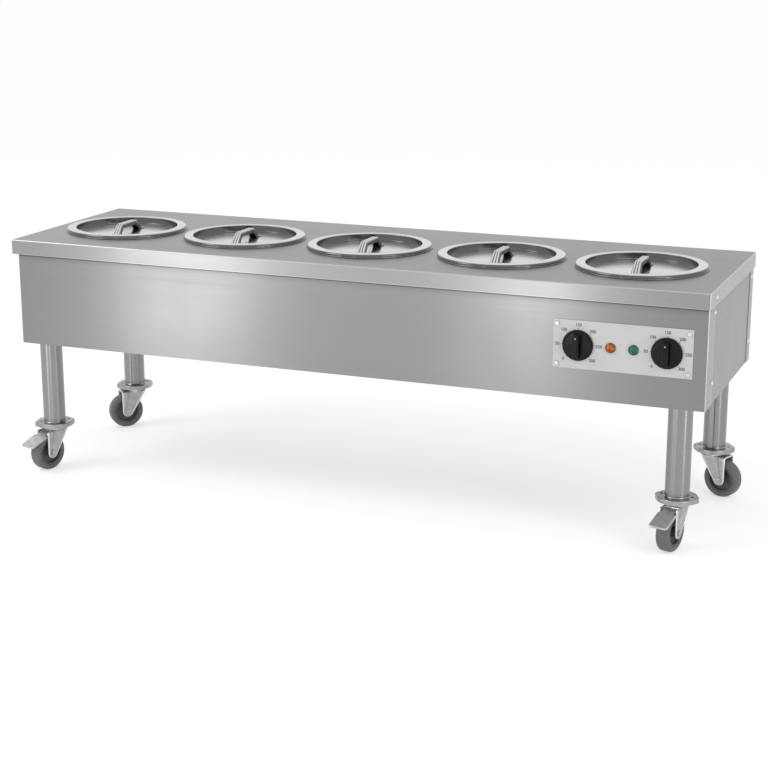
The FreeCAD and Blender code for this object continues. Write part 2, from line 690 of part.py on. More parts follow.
def pot():
    """A pot about the Z axis: straight wall, rounded corner and a flat rolled rim."""
    rim_top = SLAB_TOP + POT_RIM
    body = rod(POT_R, UP * POT_FLOOR, UP * rim_top)
    body = fillet_where(body, POT_CORNER, lambda e: abs(e.CenterOfMass.z - POT_FLOOR) < 1e-6)
    rim = rod(POT_RIM_R, UP * SLAB_TOP, UP * rim_top)
    rim = fillet_where(rim, POT_RIM * 0.45, lambda e: e.Curve.TypeId == "Part::GeomCircle")
    hollow = rod(POT_R - POT_WALL, UP * (POT_FLOOR + POT_WALL), UP * rim_top)
    hollow = fillet_where(hollow, POT_CORNER - POT_WALL,
                          lambda e: abs(e.CenterOfMass.z - POT_FLOOR - POT_WALL) < 1e-6)
    return body.fuse(rim).removeSplitter().cut(hollow)


def lid():
    """A recessed lid about the Z axis: skirt, flat polished band, straight recess and plate."""
    skirt = SLAB_TOP + POT_RIM
    outside = rod(LID_R, UP * skirt, UP * LID_TOP)
    outside = fillet_where(outside, LID_SHOULDER, lambda e: abs(e.CenterOfMass.z - LID_TOP) < 1e-6)
    under = rod(LID_R - LID_SHEET, UP * skirt, UP * (LID_TOP - LID_SHEET))
    under = fillet_where(under, LID_SHOULDER - LID_SHEET,
                         lambda e: abs(e.CenterOfMass.z - LID_TOP + LID_SHEET) < 1e-6)
    dish = rod(LID_OPENING_R + LID_SHEET, UP * (LID_PLATE - LID_SHEET), UP * LID_TOP)
    dish = fillet_where(dish, LID_CORNER + LID_SHEET,
                        lambda e: abs(e.CenterOfMass.z - LID_PLATE + LID_SHEET) < 1e-6)
    hollow = rod(LID_OPENING_R, UP * LID_PLATE, UP * LID_TOP)
    hollow = fillet_where(hollow, LID_CORNER, lambda e: abs(e.CenterOfMass.z - LID_PLATE) < 1e-6)
    ring = outside.cut(under)
    whole = ring.fuse(dish).removeSplitter().cut(hollow)
    return fillet_where(whole, LID_SHEET * 0.8, is_lid_brink)


def is_lid_brink(edge):
    """True for the edge where the lid's band turns down into the recess."""
    if edge.Curve.TypeId != "Part::GeomCircle":
        return False
    return abs(edge.Curve.Radius - LID_OPENING_R) < 1e-6 and abs(edge.CenterOfMass.z - LID_TOP) < 1e-6


def strap(thickness, width):
    """The handle's bent strap along Y, of one thickness and width."""
    half = HANDLE_TOP_LENGTH / 2
    toe = half + HANDLE_RUN
    heel = toe + HANDLE_FOOT
    low = LID_PLATE
    high = LID_PLATE + HANDLE_RISE - HANDLE_SHEET
    lean = thickness * math.tan(math.atan2(high - low, HANDLE_RUN) / 2)
    under = [(-heel, low), (-toe, low), (-half, high), (half, high), (toe, low), (heel, low)]
    over = [(heel, low + thickness), (toe + lean, low + thickness), (half + lean, high + thickness),
            (-half - lean, high + thickness), (-toe - lean, low + thickness), (-heel, low + thickness)]
    corners = [V(-width / 2, y, z) for y, z in under + over]
    return Part.Face(Part.makePolygon(corners + corners[:1])).extrude(RIGHT * width)


def handle_side(side):
    """The strap's turned-down edge on one side, -1 or +1: a portal of one depth under the bent strap."""
    half = HANDLE_TOP_LENGTH / 2
    toe = half + HANDLE_RUN
    low = LID_PLATE
    high = LID_PLATE + HANDLE_RISE - HANDLE_SHEET
    slope = math.atan2(high - low, HANDLE_RUN)
    foot = toe - HANDLE_SIDE / math.sin(slope)
    bend = half - HANDLE_SIDE * math.tan(slope / 2)
    inner = side * (HANDLE_TOP_WIDTH / 2 - HANDLE_SHEET)
    outer = side * HANDLE_FOOT_WIDTH / 2
    walls = []
    for run in ([(-toe, low), (-half, high), (half, high), (toe, low)],
                [(-foot, low), (-bend, high - HANDLE_SIDE), (bend, high - HANDLE_SIDE), (foot, low)]):
        corners = [V(inner, y, z) for y, z in run]
        walls.append(Part.Face(Part.makePolygon(corners + corners[:1])).extrude(RIGHT * (outer - inner)))
    return walls[0].cut(walls[1])


def lid_handle():
    """The strap handle about the Z axis, narrower on top, with turned-down edges and three raised ribs."""
    low = LID_PLATE
    high = LID_PLATE + HANDLE_RISE + HANDLE_RIB
    reach = HANDLE_TOP_LENGTH / 2 + HANDLE_RUN + HANDLE_FOOT
    sides = [(-HANDLE_FOOT_WIDTH / 2, low), (HANDLE_FOOT_WIDTH / 2, low), (HANDLE_TOP_WIDTH / 2, high),
             (-HANDLE_TOP_WIDTH / 2, high)]
    corners = [V(x, -reach, z) for x, z in sides]
    taper = Part.Face(Part.makePolygon(corners + corners[:1])).extrude(BACK * (2 * reach))
    handle = strap(HANDLE_SHEET, HANDLE_FOOT_WIDTH).fuse([handle_side(-1), handle_side(1)])
    for i in (-1, 0, 1):
        rib = strap(HANDLE_SHEET + HANDLE_RIB, HANDLE_RIB_WIDTH)
        rib.translate(RIGHT * (i * HANDLE_RIB_PITCH))
        handle = handle.fuse(rib)
    return handle.removeSplitter().common(taper)


def leg(x, y):
    """A tube leg from its foot flange up into its socket."""
    top = BASE_TOP + SOCKET_HEIGHT - SOCKET_WALL
    tube = rod(LEG_R, V(x, y, FLANGE_TOP), V(x, y, top))
    return tube.cut(rod(LEG_R - LEG_WALL, V(x, y, FLANGE_TOP), V(x, y, top)))


def leg_socket(x, y):
    """The capped socket on the cabinet's floor that holds a leg."""
    top = BASE_TOP + SOCKET_HEIGHT
    half = SOCKET_PLATE / 2
    plate = box(x - half, x + half, y - half, y + half, BASE_TOP, BASE_TOP + SOCKET_PLATE_THICK)
    cup = rod(LEG_R + LEG_CLEARANCE + SOCKET_WALL, V(x, y, BASE_TOP), V(x, y, top))
    hollow = rod(LEG_R + LEG_CLEARANCE, V(x, y, BASE_TOP), V(x, y, top - SOCKET_WALL))
    return plate.fuse(cup).removeSplitter().cut(hollow)


def oval(thickness, hole_r):
    """A two-lobed plate on z = 0: a round middle and two round ends with bolt holes."""
    lean = math.acos((FLANGE_MID_R - FLANGE_END_R) / FLANGE_BOLT_X)
    cos, sin = math.cos(lean), math.sin(lean)
    end_x = FLANGE_BOLT_X + FLANGE_END_R * cos
    end_y = FLANGE_END_R * sin
    mid_x = FLANGE_MID_R * cos
    mid_y = FLANGE_MID_R * sin
    tip = FLANGE_BOLT_X + FLANGE_END_R
    edges = []
    for s in (-1, 1):
        edges.append(Part.Arc(V(s * end_x, -end_y, 0), V(s * tip, 0, 0), V(s * end_x, end_y, 0)).toShape())
        crown = V(0, s * FLANGE_MID_R, 0)
        edges.append(Part.Arc(V(-mid_x, s * mid_y, 0), crown, V(mid_x, s * mid_y, 0)).toShape())
        for t in (-1, 1):
            edges.append(Part.LineSegment(V(s * mid_x, t * mid_y, 0), V(s * end_x, t * end_y, 0)).toShape())
    plate = filled(edges).extrude(UP * thickness)
    for s in (-1, 1):
        hole = V(s * FLANGE_BOLT_X, 0, 0)
        plate = plate.cut(rod(hole_r, hole, hole + UP * thickness))
    return plate


def at_leg(shape, index, angle):
    """A shape built about the Z axis, turned and moved to a leg's axis."""
    x, y = LEG_PLACES[index]
    shape.Placement = FreeCAD.Placement(V(x, y, 0), FreeCAD.Rotation(UP, angle)).multiply(shape.Placement)
    return shape


def foot_flange():
    """The oval plate under a leg, rounded on top and tapped for the bolts."""
    plate = oval(FLANGE_THICK, BOLT_R + RUNNING_FIT)
    plate = fillet_where(plate, FLANGE_ROUND, is_flange_brim)
    plate.translate(UP * FLANGE_BOTTOM)
    return plate


def is_flange_brim(edge):
    """True for the edges round the top of a flange on z = 0, but not those of its holes."""
    if edge.BoundBox.ZMin < FLANGE_THICK - 1e-6:
        return False
    return edge.Curve.TypeId == "Part::GeomLine" or edge.Curve.Radius > 2 * BOLT_R


def caster_head():
    """A caster's fixed head: its oval plate, upper race and kingpin."""
    plate = oval(HEAD_PLATE, BOLT_R + BOLT_SLACK)
    plate.translate(UP * CASTER_HEIGHT)
    race = rod(RACE_R, UP * HEAD_BOTTOM, UP * CASTER_HEIGHT)
    for s in (-1, 1):
        seat = V(s * FLANGE_BOLT_X, 0, HEAD_BOTTOM)
        corner = BOLT_HEAD_R / math.cos(math.pi / 6)
        race = race.cut(rod(corner + SIDE_PLAY, seat, seat + UP * RACE_HEIGHT))
    head_top = FORK_UNDER - SIDE_PLAY
    pin = rod(KINGPIN_R, UP * head_top, UP * HEAD_BOTTOM)
    head = rod(KINGPIN_HEAD_R, UP * (head_top - KINGPIN_HEAD), UP * head_top)
    return plate.fuse([race, pin, head]).removeSplitter()


def flange_bolts():
    """The two bolts that hold a caster, from below, into its leg's tapped flange."""
    solids = []
    for s in (-1, 1):
        seat = V(s * FLANGE_BOLT_X, 0, CASTER_HEIGHT)
        shank = rod(BOLT_R, seat, V(seat.x, 0, FLANGE_TOP - BOLT_SUNK))
        solids.append(hexagon(BOLT_HEAD_R, seat - UP * BOLT_HEAD, seat).fuse(shank).removeSplitter())
    return solids


def cheek():
    """One side of a fork in the X-Z plane: a flat top that narrows to a round end at the axle."""
    low = V(-FORK_TAIL, 0, FORK_TOP - FORK_CHEEK)
    hub = V(TRAIL, 0, WHEEL_R)
    away = low - hub
    turn = math.acos(FORK_END_R / away.Length)
    bearing = math.atan2(away.z, away.x) + turn
    touch = hub + V(math.cos(bearing), 0, math.sin(bearing)) * FORK_END_R
    nose = V(FORK_NOSE, 0, FORK_TOP)
    side = hub + RIGHT * FORK_END_R
    edges = [Part.LineSegment(V(-FORK_TAIL, 0, FORK_TOP), nose).toShape(),
             Part.LineSegment(nose, side).toShape(),
             Part.Arc(side, hub - UP * FORK_END_R, touch).toShape(),
             Part.LineSegment(touch, low).toShape(),
             Part.LineSegment(low, V(-FORK_TAIL, 0, FORK_TOP)).toShape()]
    return filled(edges).extrude(BACK * FORK_SHEET)


def caster_fork(braked):
    """The fork about the kingpin, trailing along +X; a braked one is cut away over the pedal."""
    half = FORK_OUTER / 2
    nose = FORK_TOP_CUT if braked else FORK_NOSE
    top = box(-FORK_TAIL, nose, -half, half, FORK_UNDER, FORK_TOP)
    near = cheek()
    near.translate(BACK * -half)
    far = cheek()
    far.translate(BACK * (half - FORK_SHEET))
    dish = Part.makeCone(half, DISH_R, DISH_TOP - FORK_UNDER, UP * FORK_UNDER)
    fork = top.fuse([near, far, dish]).removeSplitter()
    fork = fork.cut(rod(KINGPIN_R + RUNNING_FIT, UP * FORK_UNDER, UP * DISH_TOP))
    fork = fork.cut(rod(AXLE_R + RUNNING_FIT, V(TRAIL, -half, WHEEL_R), V(TRAIL, half, WHEEL_R)))
    if braked:
        pin = V(PEDAL_PIN_U, 0, PEDAL_PIN_Z)
        fork = fork.cut(rod(PEDAL_PIN_R + RUNNING_FIT, pin - BACK * half, pin + BACK * half))
    return fork


def caster_axle(braked):
    """The axle bolt and its nut, and on a braked caster the pedal's pin."""
    half = FORK_OUTER / 2
    hub = V(TRAIL, 0, WHEEL_R)
    shank = rod(AXLE_R, hub - BACK * half, hub + BACK * (half + AXLE_HEAD))
    head = rod(AXLE_HEAD_R, hub - BACK * (half + AXLE_HEAD), hub - BACK * half)
    head = fillet_where(head, AXLE_HEAD / 3, lambda e: e.CenterOfMass.y < -half - AXLE_HEAD + 1e-6)
    nut = hexagon(AXLE_HEAD_R, hub + BACK * half, hub + BACK * (half + AXLE_HEAD))
    nut = nut.cut(rod(AXLE_R + RUNNING_FIT, hub + BACK * half, hub + BACK * (half + AXLE_HEAD)))
    solids = [shank.fuse(head).removeSplitter(), nut]
    if braked:
        pin = V(PEDAL_PIN_U, 0, PEDAL_PIN_Z)
        solids.append(rod(PEDAL_PIN_R, pin - BACK * half, pin + BACK * half))
    return solids


def on_axle(shape):
    """A shape turned about Z, laid on the wheel's axle."""
    shape.Placement = FreeCAD.Placement(V(TRAIL, 0, WHEEL_R), FreeCAD.Rotation(RIGHT, 90))
    return shape


def wheel_hub():
    """The wheel's centre: rim, web and a boss that fills the fork."""
    half = HUB_WIDTH / 2
    web = HUB_WEB / 2
    boss = FORK_GAP / 2 - SIDE_PLAY
    bore = AXLE_R + RUNNING_FIT
    rim_in = HUB_R - HUB_RIM
    profile = [(bore, -boss), (HUB_BOSS_R, -boss), (HUB_BOSS_R, -web), (rim_in, -web), (rim_in, -half),
               (HUB_R, -half), (HUB_R, half), (rim_in, half), (rim_in, web), (HUB_BOSS_R, web),
               (HUB_BOSS_R, boss), (bore, boss)]
    return on_axle(turned(profile))


def tyre():
    """The rubber tyre moulded round the hub."""
    half = TYRE_WIDTH / 2
    ring = rod(WHEEL_R, UP * -half, UP * half)
    ring = fillet_where(ring, TYRE_ROUND, lambda e: e.Curve.TypeId == "Part::GeomCircle")
    return on_axle(ring.cut(rod(HUB_R, UP * -half, UP * half)))


def tread_block(inset, low, high):
    """The tread's block along +X from the pin, drawn in on three sides by an inset."""
    half = PEDAL_WIDTH / 2 - inset
    end = PEDAL_LENGTH - inset
    block = box(PEDAL_NECK, end, -half, half, low, high)
    return fillet_where(block, PEDAL_TIP - inset,
                        lambda e: runs_along(e, UP) and e.CenterOfMass.x > end - 1e-6)


def brake_pedal():
    """A brake pedal on its pin: a sloping tread with turned-down edges, its strap and a shoe."""
    pin = V(PEDAL_PIN_U, 0, PEDAL_PIN_Z)
    inner = FORK_GAP - 2 * PEDAL_PLAY
    top = PEDAL_BOSS_R
    under = top - PEDAL_SHEET
    low = top - PEDAL_LIP
    tread = fillet_where(tread_block(0, low, top), PEDAL_ROUND,
                         lambda e: e.BoundBox.ZMin > top - 1e-6 and e.CenterOfMass.x > PEDAL_NECK + 1e-6)
    tread = tread.cut(tread_block(PEDAL_SHEET, low, under))
    strip = box(0, PEDAL_NECK + PEDAL_SHEET, -inner / 2, inner / 2, under, top)
    plate = tread.fuse(strip).removeSplitter()
    plate.Placement = FreeCAD.Placement(pin, FreeCAD.Rotation(BACK, PEDAL_SLOPE))
    boss = rod(PEDAL_BOSS_R, pin - BACK * (inner / 2), pin + BACK * (inner / 2))
    shoe_low = 2 * WHEEL_R + BRAKE_GAP
    shoe = box(PEDAL_PIN_U, PEDAL_PIN_U + BRAKE_SHOE, -inner / 2, inner / 2, shoe_low, PEDAL_PIN_Z)
    pedal = boss.fuse([plate, shoe]).removeSplitter()
    return pedal.cut(rod(PEDAL_PIN_R + RUNNING_FIT, pin - BACK * inner, pin + BACK * inner))


def build():
    os.makedirs("parts", exist_ok=True)
    save("top_slab", top_slab())
    save("front_panel", front_panel())
    save("back_panel", back_panel())
    save("left_side_panel", side_panel(SIDE_LEFT, INNER_LEFT))
    save("right_side_panel", side_panel(INNER_RIGHT, SIDE_RIGHT))
    save("base_panel", base_panel())
    save("cabinet_screws", cabinet_screws())
    save("control_plate", control_plate())
    save("control_plate_screws", control_plate_screws())
    save("amber_lamp_lens", lamp_lens(LAMP_X[0]))
    save("green_lamp_lens", lamp_lens(LAMP_X[1]))
    save("lamp_bodies", lamp_bodies())
    save("thermostats", thermostat(KNOB_X[0]) + thermostat(KNOB_X[1]))
    save("left_knob", knob(KNOB_X[0]))
    save("right_knob", knob(KNOB_X[1]))
    save("water_tank", water_tank())
    save("heating_elements", heating_elements())
    save("terminal_block", terminal_block())
    save("cable_gland", cable_gland())
    for i, x in enumerate(POT_X):
        for name, make in (("pot", pot), ("lid", lid), ("lid_handle", lid_handle)):
            piece = make()
            piece.translate(V(x, POT_ROW_Y, 0))
            save(name + "_" + str(i + 1), piece)
    save("leg_sockets", [leg_socket(x, y) for x, y in LEG_PLACES])
    save("foot_flanges", [at_leg(foot_flange(), i, FLANGE_ANGLE[i]) for i in range(len(CORNERS))])
    save("caster_heads", [at_leg(caster_head(), i, FLANGE_ANGLE[i]) for i in range(len(CORNERS))])
    bolts = [at_leg(bolt, i, FLANGE_ANGLE[i]) for i in range(len(CORNERS)) for bolt in flange_bolts()]
    save("flange_bolts", bolts)
    for i, corner in enumerate(CORNERS):
        braked = BRAKED[i]
        turn = TRAIL_ANGLE[i]
        save("leg_" + corner, leg(*LEG_PLACES[i]))
        save("fork_" + corner, at_leg(caster_fork(braked), i, turn))
        save("axle_" + corner, [at_leg(piece, i, turn) for piece in caster_axle(braked)])
        save("hub_" + corner, at_leg(wheel_hub(), i, turn))
        save("tyre_" + corner, at_leg(tyre(), i, turn))
        if braked:
            save("pedal_" + corner, at_leg(brake_pedal(), i, turn))


build()
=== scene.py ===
import json
import math

import bpy
import numpy as np
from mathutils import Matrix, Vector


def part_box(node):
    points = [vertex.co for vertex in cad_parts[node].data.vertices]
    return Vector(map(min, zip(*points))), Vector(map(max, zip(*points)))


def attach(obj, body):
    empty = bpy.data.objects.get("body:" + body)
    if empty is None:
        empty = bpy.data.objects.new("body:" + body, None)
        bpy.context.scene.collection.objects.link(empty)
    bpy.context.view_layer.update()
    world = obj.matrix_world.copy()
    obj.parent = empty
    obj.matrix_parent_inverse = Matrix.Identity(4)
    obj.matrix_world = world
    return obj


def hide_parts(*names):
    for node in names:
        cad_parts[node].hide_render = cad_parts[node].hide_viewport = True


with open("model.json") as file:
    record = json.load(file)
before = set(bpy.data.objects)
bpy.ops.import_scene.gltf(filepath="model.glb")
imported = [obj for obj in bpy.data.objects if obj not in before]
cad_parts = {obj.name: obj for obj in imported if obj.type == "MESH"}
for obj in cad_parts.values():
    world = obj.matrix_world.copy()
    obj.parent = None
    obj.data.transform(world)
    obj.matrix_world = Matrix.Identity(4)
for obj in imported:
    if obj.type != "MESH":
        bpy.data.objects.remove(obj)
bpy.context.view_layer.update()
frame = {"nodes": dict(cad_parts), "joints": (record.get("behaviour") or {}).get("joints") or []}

# Sizes of the finished pieces in millimetres, as the part's source has them
MM = 0.001
LID_R, LID_SHOULDER, LID_OPENING_R, LID_CORNER, LID_SHEET = 139.5, 5.6, 117.0, 2.5, 1.0
LID_TOP, LID_PLATE, LID_SKIRT = 555.0, 540.0, 548.5
POT_R, POT_WALL, POT_RIM_R, POT_CORNER = 121.0, 1.0, 141.0, 22.0
POT_FLOOR, POT_SEAT, POT_TOP = 374.0, 546.0, 548.5
HANDLE_HALF, HANDLE_RUN, HANDLE_FOOT, HANDLE_RISE = 33.0, 21.0, 9.0, 23.5
HANDLE_SIDE, HANDLE_LIFT, HANDLE_CROWN = 8.0, 0.25, 3.0
HANDLE_SHEET, HANDLE_TOP_WIDTH, HANDLE_FOOT_WIDTH = 1.6, 16.0, 20.0
HANDLE_RIB, HANDLE_RIB_WIDTH, HANDLE_RIB_PITCH = 0.8, 2.4, 5.0
KNOB_R, KNOB_SKIRT, KNOB_HEIGHT, KNOB_CAP_R, KNOB_GRIP_WIDTH = 32.0, 6.0, 22.0, 26.0, 15.0
LAMP_R, LAMP_RING, LAMP_DOME = 10.5, 2.5, 4.5
LEG_R, LEG_WALL = 25.4, 1.5
WHEEL_R, TYRE_WIDTH, TYRE_ROUND = 42.0, 29.0, 7.0
HUB_R, HUB_WIDTH, HUB_WEB, HUB_RIM, HUB_BOSS_R, AXLE_R = 30.0, 26.0, 9.0, 4.0, 10.0, 3.5
TRAIL, FORK_SHEET, FORK_GAP, FORK_TAIL = 26.0, 3.0, 34.0, 21.5
FORK_NOSE, FORK_END_R, FORK_CHEEK, FORK_TOP_CUT = 39.5, 13.0, 4.0, 15.0
FORK_TOP, DISH_TOP, DISH_R, KINGPIN_R = 94.8, 97.8, 28.0, 6.0
PEDAL_PIN_U, PEDAL_PIN_Z, PEDAL_SLOPE, PEDAL_LENGTH = 27.0, 88.2, 21.5, 64.0
PEDAL_WIDTH, PEDAL_TIP, PEDAL_LIP, PEDAL_SHEET, PEDAL_BOSS_R, PEDAL_PIN_R = 41.0, 6.0, 4.5, 2.5, 3.6, 2.0
PEDAL_NECK = (FORK_NOSE - PEDAL_PIN_U + PEDAL_SHEET) / math.cos(math.radians(PEDAL_SLOPE))
SCREW_HEAD_R, SCREW_HEAD, SCREW_END_INSET, SCREW_EDGE_INSET = 4.6, 2.4, 8.0, 8.5
SIDE_SCREW_R, SIDE_SCREW, SCREW_ROW_INSET, HEAD_COVER = 4.15, 2.9, 7.0, 0.08
SLAB_SCREW_Z, SIDE_SCREW_Z = 530.0, (498.0, 354.0)
# The drawn pedal's inner parts are narrower than the solid's, to clear the drawn fork's round bend
PEDAL_INNER = FORK_GAP - 5.5
SHOE_LENGTH, SHOE_GAP, KNOB_GAP = 9.0, 0.45, 0.8
# Where a turned profile starts and ends beside its axis
NEAR_AXIS = 0.6
# The dials' prints: seven figures, their bearings in degrees, and strokes
FIGURES, FIGURE_STEP, FIRST_BEARING, BEARING_STEP = 7, 50, 225, 45
FIGURE_SIZE, FIGURE_BOLD, FIGURE_REACH, FIGURE_SPREAD = 9.0, 0.16, 41.5, 1.5
STROKE_FROM, STROKE_TO, STROKE_HALF, PRINT_LIFT = 32.6, 35.0, 0.45, 0.06
# The set: the floor's colour and glow, its reach in metres, and the world's light on all but the background
FLOOR_TONE, FLOOR_GLOW, FLOOR_REACH, WORLD_LIGHT = 0.86, 0.5, 60.0, 0.56
# The camera fitted to the photo: focal length in the photo's pixels, place in metres, angles in degrees
SENSOR, PHOTO_WIDTH, FOCAL_PIXELS = 36.0, 768.0, 1731.18
CAMERA_X, CAMERA_Y, CAMERA_Z, CAMERA_TILT, CAMERA_TURN = 1.43859, -3.53101, 1.24421, 14.95, 21.92
CORNERS = ["front_left", "front_right", "back_left", "back_right"]

# Turns of the rib pattern over the handle section's full way round
RIB_TURNS = 2 * math.pi * 2 * HANDLE_TOP_WIDTH / HANDLE_RIB_PITCH

JOINTS = {joint["name"]: joint for joint in frame["joints"]}


def middle(node):
    """The centre of a CAD node's box, in millimetres."""
    low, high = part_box(node)
    return (np.array(low) + np.array(high)) / 2 / MM


def add(name, data):
    """A new object in the scene."""
    made = bpy.data.objects.new(name, data)
    bpy.context.scene.collection.objects.link(made)
    return made


def corner_run(corners, closed=False, arc_points=7):
    """A run of (a, b) points through corners (a, b, radius). Each corner with a radius becomes an arc that
    touches both its sides at radius / tan(half angle) from the corner, and long straight stretches get a
    point near each end, so that they shade flat."""
    spots = np.array([c[:2] for c in corners], float)
    count = len(corners)
    run = []
    for i, (a, b, radius) in enumerate(corners):
        here = spots[i]
        if radius == 0 or (not closed and i in (0, count - 1)):
            run.append(here[None])
            continue
        back = spots[i - 1] - here
        on = spots[(i + 1) % count] - here
        back = back / np.linalg.norm(back)
        on = on / np.linalg.norm(on)
        half = math.acos(np.clip(back @ on, -1, 1)) / 2
        way = (back + on) / np.linalg.norm(back + on)
        hub = here + way * radius / math.sin(half)
        first = here + back * radius / math.tan(half) - hub
        last = here + on * radius / math.tan(half) - hub
        start = math.atan2(first[1], first[0])
        sweep = (math.atan2(last[1], last[0]) - start + math.pi) % (2 * math.pi) - math.pi
        angle = start + sweep * np.linspace(0, 1, arc_points)
        run.append(hub + radius * np.stack([np.cos(angle), np.sin(angle)], 1))
    run = np.concatenate(run)
    after = np.roll(run, -1, 0) if closed else run[1:]
    before = run if closed else run[:-1]
    gap = np.linalg.norm(after - before, axis=1)
    pieces = []
    for start, end, length in zip(before, after, gap):
        share = [0.0] if length < 2.5 else [0.0, 0.5 / length, 1 - 0.5 / length]
        pieces.append(start + (end - start) * np.array(share)[:, None])
    if not closed:
        pieces.append(run[-1:])
    return np.concatenate(pieces)


def shell(grid, across=None, around=False, along=False, caps=False):
    """A closed skin over a grid of points (rows, columns, 3): each four neighbours make a face, around joins
    the last column to the first, along joins the last row to the first, and caps closes the first and last
    row with a fan to their middle. Its pattern coordinates are the column's share of the turn, and the row's
    share of the run or the values given in across. The corners run the way that makes the volume positive."""
    rows, cols = grid.shape[:2]
    across = np.linspace(0, 1, rows) if across is None else across
    i = np.arange(rows if along else rows - 1)[:, None]
    j = np.arange(cols if around else cols - 1)[None, :]
    i_on, j_on = (i + 1) % rows, (j + 1) % cols
    quads = np.stack(np.broadcast_arrays(i * cols + j, i * cols + j_on, i_on * cols + j_on, i_on * cols + j), -1)
    turn = cols if around else cols - 1
    u0, u1 = j / turn + 0.0 * i, (j + 1) / turn + 0.0 * i
    v0, v1 = across[i] + 0.0 * j, across[i_on] + 0.0 * j
    spread = np.stack([np.stack([u0, v0], -1), np.stack([u1, v0], -1), np.stack([u1, v1], -1),
                       np.stack([u0, v1], -1)], 2)
    points = grid.reshape(-1, 3)
    quads = quads.reshape(-1, 4)
    spread = spread.reshape(-1, 4, 2)
    fans, fan_spread = np.zeros((0, 3), int), np.zeros((0, 3, 2))
    if caps:
        ring = np.arange(cols)
        ring_on = (ring + 1) % cols
        ends = []
        for row, pole, flip in ((0, len(points), True), (rows - 1, len(points) + 1, False)):
            base = row * cols
            fan = np.stack([base + ring, base + ring_on, np.full(cols, pole)], 1)
            ends.append(fan[:, ::-1] if flip else fan)
        points = np.concatenate([points, grid[0].mean(0)[None], grid[-1].mean(0)[None]])
        fans = np.concatenate(ends)
        share = np.stack([ring / cols, (ring + 1) / cols, (ring + 0.5) / cols], 1)
        first = np.stack([share[:, ::-1], np.broadcast_to(across[0], share.shape)], -1)
        last = np.stack([share, np.broadcast_to(across[-1], share.shape)], -1)
        fan_spread = np.concatenate([first, last])
    tri = np.concatenate([quads[:, [0, 1, 2]], quads[:, [0, 2, 3]], fans])
    a, b, c = points[tri[:, 0]], points[tri[:, 1]], points[tri[:, 2]]
    if np.einsum("ij,ij->i", a - points.mean(0), np.cross(b - a, c - a)).sum() < 0:
        quads, spread = quads[:, ::-1], spread[:, ::-1]
        fans, fan_spread = fans[:, ::-1], fan_spread[:, ::-1]
    return points, quads, spread, fans, fan_spread


def piece(name, shells, body, material, replaces=(), crease=35.0):
    """One object from several shells, in metres, riding on a body."""
    points, faces, spreads = [], [], []
    base = 0
    for part_points, quads, spread, fans, fan_spread in shells:
        points.append(part_points)
        faces += (quads + base).tolist() + (fans + base).tolist()
        spreads += [spread.reshape(-1, 2), fan_spread.reshape(-1, 2)]
        base += len(part_points)
    mesh = bpy.data.meshes.new(name)
    mesh.from_pydata(np.concatenate(points) * MM, [], faces)
    mesh.uv_layers.new(name="UVMap").data.foreach_set("uv", np.concatenate(spreads).astype(np.float32).ravel())
    mesh.polygons.foreach_set("use_smooth", np.ones(len(faces), bool))
    mesh.set_sharp_from_angle(angle=math.radians(crease))
    mesh.materials.append(material)
    made = add(name, mesh)
    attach(made, body)
    if replaces:
        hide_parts(*replaces)
    return made


def axes_for(axis):
    """Two directions across an axis, and the axis, each one long."""
    axis = np.array(axis, float) / np.linalg.norm(axis)
    helper = np.array([0, 0, 1.0]) if abs(axis[2]) < 0.9 else np.array([1.0, 0, 0])
    first = np.cross(helper, axis)
    first = first / np.linalg.norm(first)
    return first, np.cross(axis, first), axis


def lathe(profile, centre, axis=(0, 0, 1), steps=96, ring=False):
    """A profile of (radius, height) points turned round an axis: each point goes to centre + radius times
    (cosine, sine) across the axis + height along it. A ring's profile is a closed loop; any other one starts
    and ends near the axis and is closed there."""
    first, second, axis = axes_for(axis)
    angle = np.arange(steps) * 2 * np.pi / steps
    spoke = np.cos(angle)[:, None] * first + np.sin(angle)[:, None] * second
    radius, height = profile[:, 0], profile[:, 1]
    grid = np.array(centre) + radius[:, None, None] * spoke[None] + height[:, None, None] * axis
    return shell(grid, across=radius / radius.max(), around=True, along=ring, caps=not ring)


def outline_normals(outline):
    """Outward directions of a closed plan outline that runs anticlockwise, from its neighbours' chord."""
    chord = np.roll(outline, -1, 0) - np.roll(outline, 1, 0)
    normal = np.stack([chord[:, 1], -chord[:, 0]], 1)
    return normal / np.linalg.norm(normal, axis=1)[:, None]


def loft(outline, profile, origin, frame_axes):
    """A plan outline drawn in and raised along a profile of (inset, height) points: each ring is the outline
    moved inwards by the inset and up by the height, in the frame of three axes at an origin."""
    plan = outline[None] - profile[:, 0, None, None] * outline_normals(outline)[None]
    height = np.broadcast_to(profile[:, 1, None, None], plan[..., :1].shape)
    local = np.concatenate([plan, height], -1)
    grid = np.array(origin) + local @ np.array(frame_axes)
    return shell(grid, around=True, caps=True)


def node(tree, kind, inputs=None, **settings):
    """Adds a shader node, sets its settings and fills its inputs with values or with other nodes' outputs."""
    made = tree.nodes.new("ShaderNode" + kind)
    for key, value in settings.items():
        setattr(made, key, value)
    for key, value in (inputs or {}).items():
        if isinstance(value, bpy.types.NodeSocket):
            tree.links.new(value, made.inputs[key])
        else:
            made.inputs[key].default_value = value
    return made


def socket_name(key):
    """A shader socket's own name, from a plain one."""
    return key.replace("_", " ").title().replace("Ior", "IOR")


def feed(shader, **sockets):
    """Joins outputs to the shader's sockets."""
    for key, value in sockets.items():
        shader.id_data.links.new(value, shader.inputs[socket_name(key)])


